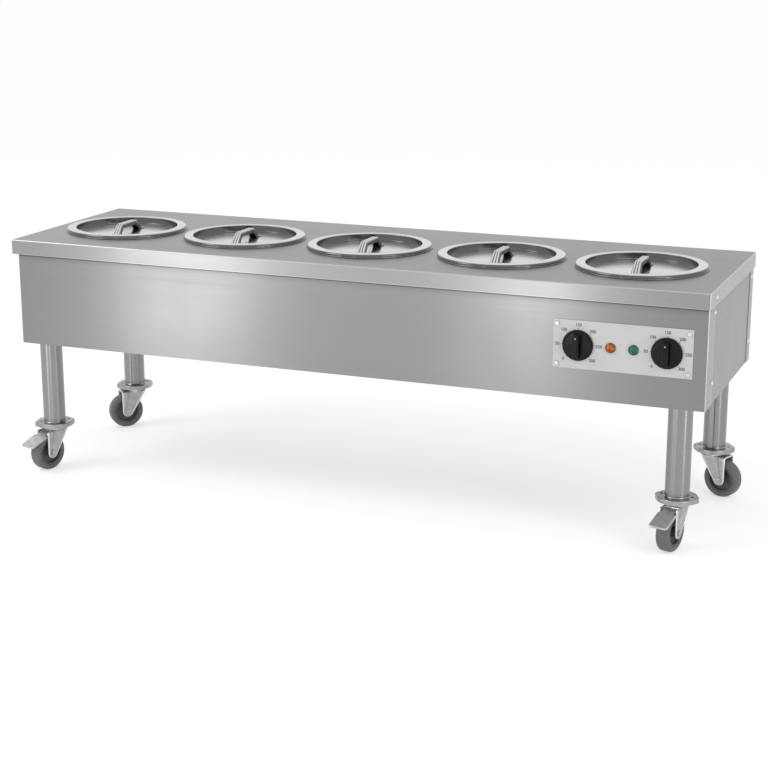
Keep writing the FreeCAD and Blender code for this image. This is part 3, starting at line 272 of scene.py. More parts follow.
def finish(name, colour, metallic, roughness, **sockets):
    """A new material: its tree and its main shader with plain values set."""
    made = bpy.data.materials.new(name)
    made.use_nodes = True
    tree = made.node_tree
    shader = tree.nodes["Principled BSDF"]
    shader.inputs["Base Color"].default_value = (*colour, 1)
    shader.inputs["Metallic"].default_value = metallic
    shader.inputs["Roughness"].default_value = roughness
    for key, value in sockets.items():
        shader.inputs[socket_name(key)].default_value = value
    return made, tree, shader


def place_of(tree, scale=(1, 1, 1), source="Object"):
    """Pattern coordinates stretched by a scale on each axis."""
    coords = node(tree, "TexCoord")
    return node(tree, "Mapping", {"Vector": coords.outputs[source], "Scale": scale}).outputs[0]


def grain(tree, vector, scale, detail=3.0, rough=0.55):
    """A noise pattern's value."""
    return node(tree, "TexNoise", {"Vector": vector, "Scale": scale, "Detail": detail,
                                             "Roughness": rough}).outputs["Fac"]


def span(tree, value, low, high, from_low=0.0, from_high=1.0, kind="LINEAR"):
    """A value mapped from one range to another."""
    return node(tree, "MapRange", {"Value": value, "From Min": from_low, "From Max": from_high,
                                             "To Min": low, "To Max": high}, interpolation_type=kind).outputs[0]


def mix_colour(tree, share, first, second, kind="MIX"):
    """Two colours, each a value or an output, mixed by a share."""
    made = node(tree, "Mix", data_type="RGBA", blend_type=kind)
    for socket, value in ((made.inputs[0], share), (made.inputs[6], first), (made.inputs[7], second)):
        if isinstance(value, bpy.types.NodeSocket):
            tree.links.new(value, socket)
        elif isinstance(value, tuple):
            socket.default_value = (*value, 1)
        else:
            socket.default_value = value
    return made.outputs[2]


def tinted(tree, colour, tone):
    """A colour made lighter or darker by a value."""
    light = node(tree, "CombineColor", {0: tone, 1: tone, 2: tone}).outputs[0]
    return mix_colour(tree, 1.0, colour, light, "MULTIPLY")


def pattern_part(tree, which):
    """One of a shell's pattern coordinates: 0 is round it and 1 is along it."""
    coords = node(tree, "TexCoord").outputs["UV"]
    return node(tree, "SeparateXYZ", {0: coords}).outputs[which]


def sums(tree, kind, first, second):
    """Arithmetic on two values."""
    return node(tree, "Math", {0: first, 1: second}, operation=kind).outputs[0]


def times(tree, first, second):
    """The product of two values."""
    return sums(tree, "MULTIPLY", first, second)


def relief(tree, shader, height, strength, distance):
    """Lets a value raise and sink the shader's surface."""
    made = node(tree, "Bump", {"Height": height, "Strength": strength, "Distance": distance})
    feed(shader, normal=made.outputs[0])


def apart(tree, first, second):
    """How far two values lie apart."""
    return sums(tree, "ABSOLUTE", sums(tree, "SUBTRACT", first, second), 0.0)


def away_from(tree, axis, centre):
    """How far a point of the object lies from a plane across one axis, in metres."""
    place = node(tree, "TexCoord").outputs["Object"]
    along = node(tree, "SeparateXYZ", {0: place}).outputs[axis]
    return apart(tree, along, centre)


def box_edges(tree, centre, half, reach):
    """A share that is 1 along the edges of a box: where a point is near at least two of its pairs of faces."""
    near = [span(tree, away_from(tree, k, centre[k]), 0.0, 1.0, half[k] - reach - 0.0003, half[k] - reach + 0.0003)
            for k in range(3)]
    return span(tree, sums(tree, "ADD", sums(tree, "ADD", near[0], near[1]), near[2]), 0.0, 1.0, 1.0, 2.0)


def brushed_sheet(name, stretch, around, colour, rough=(0.29, 0.36), turn=0.0, bends=None, seams=None,
                  shade_under_slab=False, depth=0.035):
    """Satin sheet: fine brush lines along the axis that the stretch leaves slow, cloudy handling marks, and a
    highlight spread across the lines. The bends of a box, given as its centre and half size, are painted bright
    as a highlight and its ends are brushed front to back; at the seams in its ends a painted highlight lies on
    the sheet on top and painted shade on the lower one, and painted shade, a dark line and a softer darkening,
    lies under the worktop's edge."""
    made, tree, shader = finish(name, colour, 1.0, 0.32, anisotropic=0.8, anisotropic_rotation=turn)
    lines = grain(tree, place_of(tree, stretch), 1.0, 4.0, 0.65)
    coarse = grain(tree, place_of(tree, tuple(s * 0.22 for s in stretch)), 1.0, 2.0)
    cloud = grain(tree, place_of(tree), 5.0, 3.0)
    both = sums(tree, "ADD", times(tree, lines, 0.8), times(tree, coarse, 0.2))
    tone = span(tree, both, 0.955, 1.03, 0.25, 0.75)
    if shade_under_slab:
        # Painted shade under the worktop's edge: a dark line just below it and a softer darkening further down.
        height = node(tree, "SeparateXYZ", {0: place_of(tree)}).outputs[2]
        tone = times(tree, tone, span(tree, height, 1.0, 0.35, 0.5085, 0.5115))
        tone = times(tree, tone, span(tree, height, 1.0, 0.84, 0.496, 0.512, "SMOOTHSTEP"))
    if seams and not bends:
        # Painted shade: the side sheet is darker in a narrow line beside each seam.
        tone = times(tree, tone, span(tree, away_from(tree, 1, seams[0]), 1.0, 0.55, seams[1] - 0.0034,
                                                 seams[1] - 0.0026))
    paint = tinted(tree, colour, tone)
    tangent = node(tree, "Tangent", direction_type="RADIAL", axis=around).outputs[0]
    if bends:
        # Painted highlight: the box's bends, and the end sheet's edge at each seam, are coloured brighter.
        painted_bend_highlight = box_edges(tree, *bends, 0.0021)
        at_end = span(tree, away_from(tree, 0, bends[0][0]), 0.0, 1.0, bends[1][0] - 0.0012, bends[1][0] - 0.0006)
        if seams:
            seam_highlight_reach = span(tree, away_from(tree, 1, seams[0]), 1.0, 0.0, seams[1] + 0.0012, seams[1] + 0.0018)
            painted_bend_highlight = sums(tree, "MAXIMUM", painted_bend_highlight, times(tree, at_end, seam_highlight_reach))
        paint = mix_colour(tree, painted_bend_highlight, paint, (0.5, 0.497, 0.49))
        across = node(tree, "Tangent", direction_type="RADIAL", axis="Y").outputs[0]
        tangent = node(tree, "Mix", {0: at_end, 4: tangent, 5: across}, data_type="VECTOR").outputs[1]
    dull = sums(tree, "ADD", span(tree, both, rough[0], rough[1], 0.25, 0.75),
                span(tree, cloud, -0.02, 0.03, 0.3, 0.7))
    feed(shader, base_color=paint, roughness=dull, tangent=tangent)
    relief(tree, shader, both, depth, 0.0004)
    return made


def spun_lid():
    """Lid metal: the middle plate is spun satin with fine rings, the flat band round it is satin too, and the wall
    between them and the outer shoulder are polished; painted reflection and painted shade darken the wall, the
    corner and the skirt. The pattern's second coordinate is the radius over the lid's own radius."""
    made, tree, shader = finish("lid_spun_and_polished", (0.56, 0.55, 0.535), 1.0, 0.15, anisotropic=0.5,
                                anisotropic_rotation=0.25)
    radius = pattern_part(tree, 1)
    rings = node(tree, "CombineXYZ", {0: times(tree, radius, 170.0)}).outputs[0]
    fine = grain(tree, rings, 1.0, 5.0, 0.7)
    wall = span(tree, apart(tree, radius, 0.834), 1.0, 0.0, 0.012, 0.02)
    shoulder = span(tree, radius, 0.0, 1.0, 0.956, 0.964)
    bright = sums(tree, "MAXIMUM", wall, shoulder)
    band = span(tree, radius, 0.0, 1.0, 0.845, 0.852)
    satin = sums(tree, "ADD", span(tree, fine, 0.19, 0.23, 0.3, 0.7), times(tree, band, 0.12))
    gloss = node(tree, "Mix", {0: bright, 2: satin, 3: 0.09}).outputs[0]
    tone = span(tree, fine, 0.97, 1.02, 0.3, 0.7)
    paint = tinted(tree, (0.64, 0.634, 0.626), tone)
    # Painted reflection and painted shade: the skirt, the corner at the foot of the wall and the wall are coloured
    # darker.
    skirt = span(tree, radius, 0.0, 0.88, 0.972, 0.99, "SMOOTHSTEP")
    corner = span(tree, apart(tree, radius, 0.831), 0.45, 0.0, 0.006, 0.012)
    dark = sums(tree, "MAXIMUM", sums(tree, "MAXIMUM", skirt, corner), times(tree, wall, 0.82))
    paint = mix_colour(tree, dark, paint, (0.05, 0.05, 0.048))
    tangent = node(tree, "Tangent", direction_type="UV_MAP", uv_map="UVMap").outputs[0]
    feed(shader, base_color=paint, roughness=gloss, tangent=tangent)
    relief(tree, shader, times(tree, fine, span(tree, bright, 1.0, 0.0)), 0.04, 0.0003)
    return made


def polished_steel(name, colour=(0.60, 0.59, 0.575), rough=(0.08, 0.2)):
    """Drawn bright steel with worn patches in its gloss, faint draw lines along the piece and painted shade on the
    outer edge of its rim. The pattern's second coordinate is the radius over the piece's largest one."""
    made, tree, shader = finish(name, colour, 1.0, 0.12)
    rub = grain(tree, place_of(tree), 38.0, 4.0)
    radius = pattern_part(tree, 1)
    # Painted shade: the rim's outer edge is coloured dark.
    rim = span(tree, radius, 0.0, 0.72, 0.986, 0.991)
    draw = grain(tree, place_of(tree, (900, 12, 60)), 1.0, 3.0)
    wear = sums(tree, "ADD", rub, times(tree, draw, 0.5))
    feed(shader, base_color=mix_colour(tree, rim, colour, (0.06, 0.06, 0.058)),
         roughness=span(tree, wear, rough[0], rough[1], 0.45, 1.05))
    relief(tree, shader, draw, 0.05, 0.0002)
    return made


def handle_steel():
    """Pressed strap: satin on top with draw lines along the ribs, painted highlight on the ribs and painted shade
    between them, dull at the turned edges and below and darker there as painted shade. The pattern's first
    coordinate runs round the section, first over the top and then back along the underside."""
    made, tree, shader = finish("handle_pressed_steel", (0.48, 0.47, 0.455), 1.0, 0.24)
    around = pattern_part(tree, 0)
    # Painted shade: the turned edges and underside are coloured darker; they are also duller.
    under = span(tree, around, 0.0, 1.0, 0.497, 0.503)
    draw = grain(tree, place_of(tree, (160, 5, 1), "UV"), 1.0, 3.0)
    rub = grain(tree, place_of(tree), 70.0, 3.0)
    # Painted highlight on the ribs and painted shade in the grooves between them.
    wave = sums(tree, "COSINE", times(tree, sums(tree, "SUBTRACT", around, 0.25), RIB_TURNS), 0.0)
    ribs_in_painted_light_and_shade = mix_colour(tree, span(tree, wave, 0.0, 1.0, -0.6, 0.5), (0.2, 0.195, 0.19), (0.66, 0.65, 0.635))
    shine = sums(tree, "ADD", span(tree, draw, 0.17, 0.27, 0.3, 0.7), span(tree, rub, -0.03, 0.05, 0.3, 0.7))
    dull = sums(tree, "ADD", shine, times(tree, under, 0.25))
    feed(shader, base_color=mix_colour(tree, under, ribs_in_painted_light_and_shade, (0.19, 0.187, 0.18)), roughness=dull)
    relief(tree, shader, draw, 0.06, 0.0002)
    return made


def zinc_plate(name, colour=(0.66, 0.68, 0.685), rough=(0.26, 0.42), metallic=1.0, mottle=(60.0, 0.84, 1.06),
               pressed=False):
    """Bright zinc plating: bluish, with soft patches in its gloss and a faint spangle. A pressed sheet, whose
    pattern's first coordinate runs round its section, has a painted highlight along its edges and a pressed step
    along its front drawn as a line of painted shade."""
    made, tree, shader = finish(name, colour, metallic, 0.34)
    patch = grain(tree, place_of(tree), mottle[0], 5.0)
    spangle = node(tree, "TexVoronoi", {"Vector": place_of(tree), "Scale": 420.0})
    fleck = node(tree, "SeparateColor", {0: spangle.outputs["Color"]}).outputs[0]
    tone = sums(tree, "ADD", span(tree, patch, mottle[1], mottle[2], 0.3, 0.7), span(tree, fleck, -0.05, 0.05))
    paint = tinted(tree, colour, tone)
    if pressed:
        around = pattern_part(tree, 0)
        # Painted highlight along the pressed sheet's edges, and a line of painted shade along its front for the
        # pressed step.
        edge = sums(tree, "MAXIMUM", span(tree, around, 1.0, 0.0, 0.11, 0.14),
                    span(tree, apart(tree, around, 0.482), 1.0, 0.0, 0.12, 0.15))
        step = span(tree, apart(tree, around, 0.285), 0.55, 0.0, 0.004, 0.012)
        paint = mix_colour(tree, edge, paint, (0.92, 0.93, 0.93))
        paint = mix_colour(tree, step, paint, (0.2, 0.2, 0.2))
    feed(shader, base_color=paint, roughness=span(tree, patch, rough[1], rough[0], 0.3, 0.7))
    relief(tree, shader, patch, 0.08, 0.0006)
    return made


def moulded(name, colour, rough, scale=900.0, strength=0.06, spread=0.06, gloss=0.5):
    """Moulded plastic or rubber: a fine moulded grain, paler dusty patches and uneven gloss."""
    made, tree, shader = finish(name, colour, 0.0, rough, specular_ior_level=gloss)
    fine = grain(tree, place_of(tree), scale, 2.0)
    dust = grain(tree, place_of(tree), 45.0, 4.0)
    pale = tuple(min(1.0, c * 1.35 + 0.012) for c in colour)
    feed(shader, base_color=mix_colour(tree, span(tree, dust, 0.0, 0.6, 0.45, 0.8), colour, pale),
         roughness=span(tree, dust, rough - spread, rough + spread, 0.3, 0.7))
    relief(tree, shader, fine, strength, 0.0003)
    return made


def lamp_glass(name, colour, deep):
    """A coloured lamp lens: facets inside it show as lighter and darker cells under a glossy skin, and painted
    shade darkens it towards its edge.
    """
    made, tree, shader = finish(name, colour, 0.0, 0.16, coat_weight=0.2, coat_roughness=0.08,
                                specular_ior_level=0.3)
    cells = node(tree, "TexVoronoi", {"Vector": place_of(tree), "Scale": 260.0})
    facet = node(tree, "SeparateColor", {0: cells.outputs["Color"]}).outputs[0]
    lit = mix_colour(tree, facet, deep, colour)
    radius = pattern_part(tree, 1)
    # Painted shade: the lens colour darkens towards its edge.
    rim = span(tree, radius, 0.0, 0.85, 0.6, 0.95, "SMOOTHSTEP")
    feed(shader, base_color=mix_colour(tree, rim, lit, tuple(c * 0.35 for c in deep)))
    relief(tree, shader, cells.outputs["Distance"], 0.35, 0.0008)
    return made


def printed_plate():
    """The control plate: pale satin lacquer on aluminium with a faint rolled grain and soft soiling."""
    colour = (0.69, 0.69, 0.695)
    made, tree, shader = finish("plate_pale_lacquer", colour, 0.0, 0.42)
    roll = grain(tree, place_of(tree, (30, 30, 900)), 1.0, 3.0)
    soil = grain(tree, place_of(tree), 14.0, 4.0)
    feed(shader, base_color=mix_colour(tree, span(tree, soil, 0.0, 0.5, 0.45, 0.8), colour, (0.63, 0.63, 0.63)),
         roughness=span(tree, roll, 0.36, 0.48, 0.3, 0.7))
    relief(tree, shader, roll, 0.04, 0.0002)
    return made


SLAB_BENDS = ((0.0, 0.014188, 0.52885), (0.8, 0.24, 0.01715))
PANEL_BENDS = ((0.006, 0.012188, 0.4), (0.792, 0.234, 1.0))
END_SEAMS = (0.021688, 0.1885)
# The top, the front, back and base panels and the side panels are one brushed steel; their colours differ, lightest
# on the top and darkest on the sides, as painted light and shade.
TOP_STEEL = brushed_sheet("slab_brushed_along_its_length", (2.5, 620, 620), "X", (0.31, 0.307, 0.3015),
                          bends=SLAB_BENDS)
FRONT_STEEL = brushed_sheet("panel_brushed_along_its_length", (2.5, 620, 620), "X", (0.25, 0.2475, 0.243),
                            bends=PANEL_BENDS, seams=END_SEAMS, shade_under_slab=True)
SIDE_STEEL = brushed_sheet("side_brushed_front_to_back", (620, 2.5, 620), "Y", (0.175, 0.173, 0.1695),
                           seams=END_SEAMS, shade_under_slab=True)
LEG_STEEL = brushed_sheet("leg_tube_polished_round", (40, 40, 700), "Z", (0.27, 0.2675, 0.262),
                          (0.22, 0.25), 0.25, depth=0.008)
INNER_STEEL = brushed_sheet("tank_mill_finish", (3, 300, 300), "X", (0.42, 0.415, 0.405), (0.38, 0.5))
LID_STEEL = spun_lid()
POT_STEEL = polished_steel("pot_bright_steel")
HANDLE_STEEL = handle_steel()
FLANGE_STEEL = zinc_plate("flange_dull_steel", (0.36, 0.351, 0.339), (0.24, 0.38))
FORK_ZINC = zinc_plate("fork_bright_zinc", (0.46, 0.466, 0.466), metallic=0.6, pressed=True)
PEDAL_ZINC = zinc_plate("pedal_grey_zinc", (0.6, 0.591, 0.577), (0.28, 0.46), 0.6, (120.0, 0.72, 1.1))
AXLE_STEEL = zinc_plate("axle_dark_steel", (0.45, 0.45, 0.445), (0.2, 0.3))
SCREW_ZINC = zinc_plate("screw_zinc", (0.66, 0.66, 0.66))
SCREW_DARK = zinc_plate("plate_screw_steel", (0.07, 0.069, 0.067), (0.22, 0.3), 0.45)
SCREW_BRIGHT = zinc_plate("side_screw_steel", (0.86, 0.86, 0.85), (0.16, 0.24))
KNOB_BLACK = moulded("knob_black_satin", (0.004, 0.004, 0.0045), 0.26, 1100.0, 0.04, gloss=0.18)
DARK_PLASTIC = moulded("terminal_black_plastic", (0.03, 0.03, 0.032), 0.45)
HUB_GREY = moulded("hub_dark_grey_plastic", (0.085, 0.085, 0.087), 0.45)
TYRE_GREY = moulded("tyre_grey_rubber", (0.15, 0.15, 0.15), 0.5, 700.0, 0.08)
MARK_WHITE = moulded("knob_white_mark", (0.75, 0.75, 0.75), 0.4)
PRINT_BLACK = moulded("scale_dark_print", (0.012, 0.012, 0.014), 0.5)
AMBER = lamp_glass("lamp_amber", (0.72, 0.19, 0.006), (0.2, 0.04, 0.002))
GREEN = lamp_glass("lamp_green", (0.002, 0.31, 0.13), (0.001, 0.09, 0.04))
PLATE_PALE = printed_plate()
ELEMENT_DARK = zinc_plate("element_dull_sheath", (0.2, 0.19, 0.185), (0.45, 0.6))


def lid_profile():
    """Half section of a lid from the middle of its plate out over the band to the skirt, and back below."""
    over = [(NEAR_AXIS, LID_PLATE, 0), (LID_OPENING_R, LID_PLATE, LID_CORNER), (LID_OPENING_R, LID_TOP - 0.2, 1.6),
            (129.0, LID_TOP, 40.0), (LID_R, LID_TOP - 0.3, LID_SHOULDER), (LID_R, LID_SKIRT, 0)]
    inner = LID_OPENING_R + LID_SHEET
    under = [(LID_R - LID_SHEET, LID_SKIRT, 0),
             (LID_R - LID_SHEET, LID_TOP - LID_SHEET - 0.3, LID_SHOULDER - LID_SHEET),
             (inner, LID_TOP - LID_SHEET - 0.3, 0.6), (inner, LID_PLATE - LID_SHEET, LID_CORNER + LID_SHEET),
             (NEAR_AXIS, LID_PLATE - LID_SHEET, 0)]
    return np.concatenate([corner_run(over), corner_run(under)])


def pot_profile():
    """Half section of a pot from the middle of its floor outside, up over the rim and down inside."""
    outside = [(NEAR_AXIS, POT_FLOOR, 0), (POT_R, POT_FLOOR, POT_CORNER), (POT_R, POT_SEAT, 0),
               (POT_RIM_R, POT_SEAT, 1.1), (POT_RIM_R, POT_TOP, 1.1), (POT_R - POT_WALL, POT_TOP, 1.0),
               (POT_R - POT_WALL, POT_FLOOR + POT_WALL, POT_CORNER - POT_WALL),
               (NEAR_AXIS, POT_FLOOR + POT_WALL, 0)]
    return corner_run(outside)


def handle_shell(centre):
    """A ribbed strap bent over the lid's plate: its section, with three smooth ribs on top, round shoulders and
    both edges turned down, is carried along a path of straight runs and bends. It narrows from the feet to the
    top, and its turned edges are cut off where they meet the plate."""
    toe, heel = HANDLE_HALF + HANDLE_RUN, HANDLE_HALF + HANDLE_RUN + HANDLE_FOOT
    high = HANDLE_RISE - HANDLE_SHEET
    bent = corner_run([(-heel, 0, 0), (-toe, 0, 5), (-HANDLE_HALF, high, 9), (HANDLE_HALF, high, 9), (toe, 0, 5),
                       (heel, 0, 0)], arc_points=9)
    way = np.append(0.0, np.cumsum(np.linalg.norm(np.diff(bent, axis=0), axis=1)))
    even = np.linspace(0, way[-1], 121)
    path = np.stack([np.interp(even, way, bent[:, 0]), np.interp(even, way, bent[:, 1])], 1)
    tangent = np.gradient(path, axis=0)
    tangent = tangent / np.linalg.norm(tangent, axis=1)[:, None]
    normal = np.stack([-tangent[:, 1], tangent[:, 0]], 1)
    share = np.linspace(-1, 1, 57)
    ribs = sum(np.exp(-((share * HANDLE_TOP_WIDTH / 2 - k * HANDLE_RIB_PITCH) / (HANDLE_RIB_WIDTH * 0.5)) ** 2)
               for k in (-1, 0, 1))
    shoulder = np.clip((np.abs(share) - 0.64) / 0.36, 0, 1) ** 2
    depth = np.clip(path[:, 1] / normal[:, 1], 0, HANDLE_SIDE)[:, None]
    crown = HANDLE_CROWN * depth / HANDLE_SIDE
    top = HANDLE_SHEET + HANDLE_RIB * ribs[None] - crown * shoulder[None]
    inner = 1 - 2 * HANDLE_SHEET / HANDLE_TOP_WIDTH
    back, outer_part, low_part, roof_part = (np.interp(np.linspace(0, 7, 57), np.arange(8), values) for values in (
        (1, 1, inner, inner, -inner, -inner, -1, -1), (1, 0, 0, 0, 0, 0, 0, 1), (0, 1, 1, 0, 0, 1, 1, 0),
        (0, 0, 0, 1, 1, 0, 0, 0)))
    below = outer_part * (HANDLE_SHEET - crown) - low_part * depth + roof_part * HANDLE_LIFT
    rise = np.concatenate([top, below], 1)
    width = HANDLE_FOOT_WIDTH + (HANDLE_TOP_WIDTH - HANDLE_FOOT_WIDTH) * path[:, 1] / high
    x = 0.5 * width[:, None] * np.concatenate([share, back])[None]
    y = path[:, 0, None] + normal[:, 0, None] * rise
    z = path[:, 1, None] + normal[:, 1, None] * rise
    return shell(np.array(centre) + np.stack([x, y, z], -1), around=True, caps=True)


def rounded_plan(length, width, radius, points=10):
    """A closed plan outline of a rectangle about the origin with round corners, anticlockwise."""
    a, b = length / 2, width / 2
    return corner_run([(-a, -b, radius), (a, -b, radius), (a, b, radius), (-a, b, radius)], True, points)


def knob_shells(face):
    """A knob on the plate: a turned skirt with a sloping brim, and a bar grip whose sides flare into it."""
    axes = ((1, 0, 0), (0, 0, 1), (0, -1, 0))
    skirt = corner_run([(NEAR_AXIS, 0, 0), (KNOB_R - 0.8, 0, 0), (KNOB_R, 1.0, 0.6),
                        (KNOB_R, KNOB_SKIRT * 0.55, 1.4), (KNOB_CAP_R + 0.5, KNOB_SKIRT, 2.0),
                        (NEAR_AXIS, KNOB_SKIRT + 0.6, 0)])
    plan = rounded_plan(KNOB_GRIP_WIDTH, 2 * KNOB_CAP_R - 1.2, 6.0, 9)
    up = corner_run([(-1.6, KNOB_SKIRT - 1.4, 0), (0.4, KNOB_SKIRT + 2.5, 6.0), (1.2, KNOB_HEIGHT, 2.2),
                     (5.5, KNOB_HEIGHT, 0)])
    return [lathe(skirt, face, (0, -1, 0), 96), loft(plan, up, face, axes)]


def dot_shell(face, radius, thick):
    """A small round inlay that stands a little proud, turned about the knob's direction."""
    profile = corner_run([(0.2, -thick, 0), (radius, -thick, 0), (radius, thick, thick * 0.8), (0.2, thick, 0)])
    return lathe(profile, face, (0, -1, 0), 32)


def lamp_shell(seat):
    """A lamp's lens: a short ring under a shallow dome, turned about the plate's normal."""
    ball = (LAMP_R ** 2 + LAMP_DOME ** 2) / (2 * LAMP_DOME)
    reach = np.linspace(math.asin((LAMP_R - 0.4) / ball), 0.02, 14)
    dome = np.stack([ball * np.sin(reach), LAMP_RING + LAMP_DOME - ball + ball * np.cos(reach)], 1)
    ring = corner_run([(0.3, 0.02, 0), (LAMP_R, 0.02, 0.3), (LAMP_R, LAMP_RING, 0.8),
                       (LAMP_R - 0.8, LAMP_RING + 0.15, 0)])
    return lathe(np.concatenate([ring, dome]), seat, (0, -1, 0), 64)


def leg_shell(foot, top):
    """A tube leg with a small weld fillet where it meets its flange; the half section is a closed loop."""
    low, high = foot[2], top
    loop = corner_run([(LEG_R + 1.6, low, 0), (LEG_R + 0.1, low + 1.8, 2.0), (LEG_R, high, 0),
                       (LEG_R - LEG_WALL, high, 0), (LEG_R - LEG_WALL, low, 0)], True)
    return lathe(loop, (foot[0], foot[1], 0), steps=96, ring=True)


def tyre_shell(hub, axle):
    """A tyre: a closed half section with a crowned tread, round shoulders and a shallow groove in each wall."""
    half = TYRE_WIDTH / 2
    left = [(HUB_R, -half + 2.0, 0.6), (HUB_R + 1.5, -half + 0.5, 1.0), (33.6, -half + 0.4, 0.8),
            (34.4, -half + 1.0, 0.8), (35.4, -half + 0.1, 0.8), (WHEEL_R, -half, TYRE_ROUND)]
    right = [(r, -h, c) for r, h, c in reversed(left)]
    return lathe(corner_run(left + right, True), hub, axle, 96, True)


def hub_shell(hub, axle):
    """A wheel's centre: rim, dished web and boss, as a closed half section."""
    half, web, boss, bore = HUB_WIDTH / 2, HUB_WEB / 2, FORK_GAP / 2 - 0.3, AXLE_R + 0.05
    rim = HUB_R - HUB_RIM
    right = [(bore, boss, 0), (HUB_BOSS_R, boss, 1.0), (HUB_BOSS_R, web, 2.0), (rim, web, 2.5), (rim, half, 0.8),
             (HUB_R - 0.05, half, 0.8)]
    left = [(r, -h, c) for r, h, c in reversed(right)]
    return lathe(corner_run(right + left, True), hub, axle, 96, True)


def cheek_edges(height):
    """Rear and front reach of a fork's cheek at each height: straight edges that run into the round end."""
    low = np.array([-FORK_TAIL, FORK_TOP - FORK_CHEEK])
    hub = np.array([TRAIL, WHEEL_R])
    away = low - hub
    turn = math.acos(FORK_END_R / np.linalg.norm(away))
    bearing = math.atan2(away[1], away[0]) + turn
    touch = hub + FORK_END_R * np.array([math.cos(bearing), math.sin(bearing)])
    drop = np.clip(height - hub[1], -FORK_END_R, FORK_END_R)
    bow = np.sqrt(np.maximum(FORK_END_R ** 2 - drop ** 2, 0))
    slant = touch[0] + (low[0] - touch[0]) * (height - touch[1]) / (low[1] - touch[1])
    rear = np.where(height >= low[1], low[0], np.where(height >= touch[1], slant, hub[0] - bow))
    lean = hub[0] + FORK_END_R + (FORK_NOSE - hub[0] - FORK_END_R) * (height - hub[1]) / (FORK_TOP - hub[1])
    front = np.where(height >= hub[1], lean, hub[0] + bow)
    return rear, front


def fork_shells(at, braked):
    """A pressed fork: a sheet's section, flat with round edges, is carried up one cheek, over the top and down
    the other, its rear and front edges following the cheek's outline; a turned horn stands on its top."""
    half = FORK_GAP / 2 + FORK_SHEET
    bend = 5.0
    curl = WHEEL_R - FORK_END_R * np.cos(np.linspace(0.14, np.pi / 2, 14))
    rise = np.concatenate([curl, np.linspace(WHEEL_R, FORK_TOP - bend, 16)[1:]])
    arc = np.linspace(0, np.pi / 2, 9)[1:]
    over = np.linspace(half - bend, -half + bend, 8)[1:-1]
    v = np.concatenate([np.full(len(rise), half), half - bend + bend * np.cos(arc), over])
    z = np.concatenate([rise, FORK_TOP - bend + bend * np.sin(arc), np.full(len(over), FORK_TOP)])
    out_v = np.concatenate([np.ones(len(rise)), np.cos(arc), np.zeros(len(over))])
    out_z = np.concatenate([np.zeros(len(rise)), np.sin(arc), np.ones(len(over))])
    back = np.arange(len(rise) + len(arc))[::-1]
    v, z, out_v, out_z = (np.concatenate([run, sign * run[back]])
                          for run, sign in ((v, -1), (z, 1), (out_v, -1), (out_z, 1)))
    rear, front = cheek_edges(z)
    if braked:
        open_share = np.clip((half - 0.6 - np.abs(v)) / (bend * 0.8), 0, 1)
        front = front + (FORK_TOP_CUT - front) * open_share ** 2 * (3 - 2 * open_share) * (z > FORK_TOP - bend)
    c = 0.9
    corner = np.linspace(0, np.pi / 2, 4)
    quarter = np.stack([np.sin(corner), np.cos(corner)], 1)
    flat = np.linspace(0, 1, 8)[1:-1]
    share = np.concatenate([np.zeros(4), flat, np.ones(8), flat[::-1], np.zeros(4)])
    push = np.concatenate([c - c * quarter[::-1, 0], np.zeros(6), -c + c * quarter[:, 0], -c + c * quarter[::-1, 0],
                           np.zeros(6), c - c * quarter[:, 0]])
    deep = np.concatenate([c - c * quarter[::-1, 1], np.zeros(6), c - c * quarter[:, 1],
                           FORK_SHEET - c + c * quarter[::-1, 1], np.full(6, FORK_SHEET),
                           FORK_SHEET - c + c * quarter[:, 1]])
    u = rear[:, None] + (front - rear)[:, None] * share[None] + push[None]
    vv = v[:, None] - out_v[:, None] * deep[None]
    zz = z[:, None] - out_z[:, None] * deep[None]
    sheet = shell(at(np.stack([u, vv, zz], -1)), around=True, caps=True)
    centre = at(np.zeros((1, 3)))[0]
    horn = corner_run([(KINGPIN_R + 0.05, FORK_TOP - 2, 0), (21.0, FORK_TOP - 2, 0), (21.5, FORK_TOP + 0.2, 1.0),
                       (DISH_R, DISH_TOP - 1.4, 1.2), (DISH_R, DISH_TOP, 0.5),
                       (KINGPIN_R + 0.05, DISH_TOP, 0)], True)
    return [sheet, lathe(horn, (centre[0], centre[1], 0), steps=96, ring=True)]


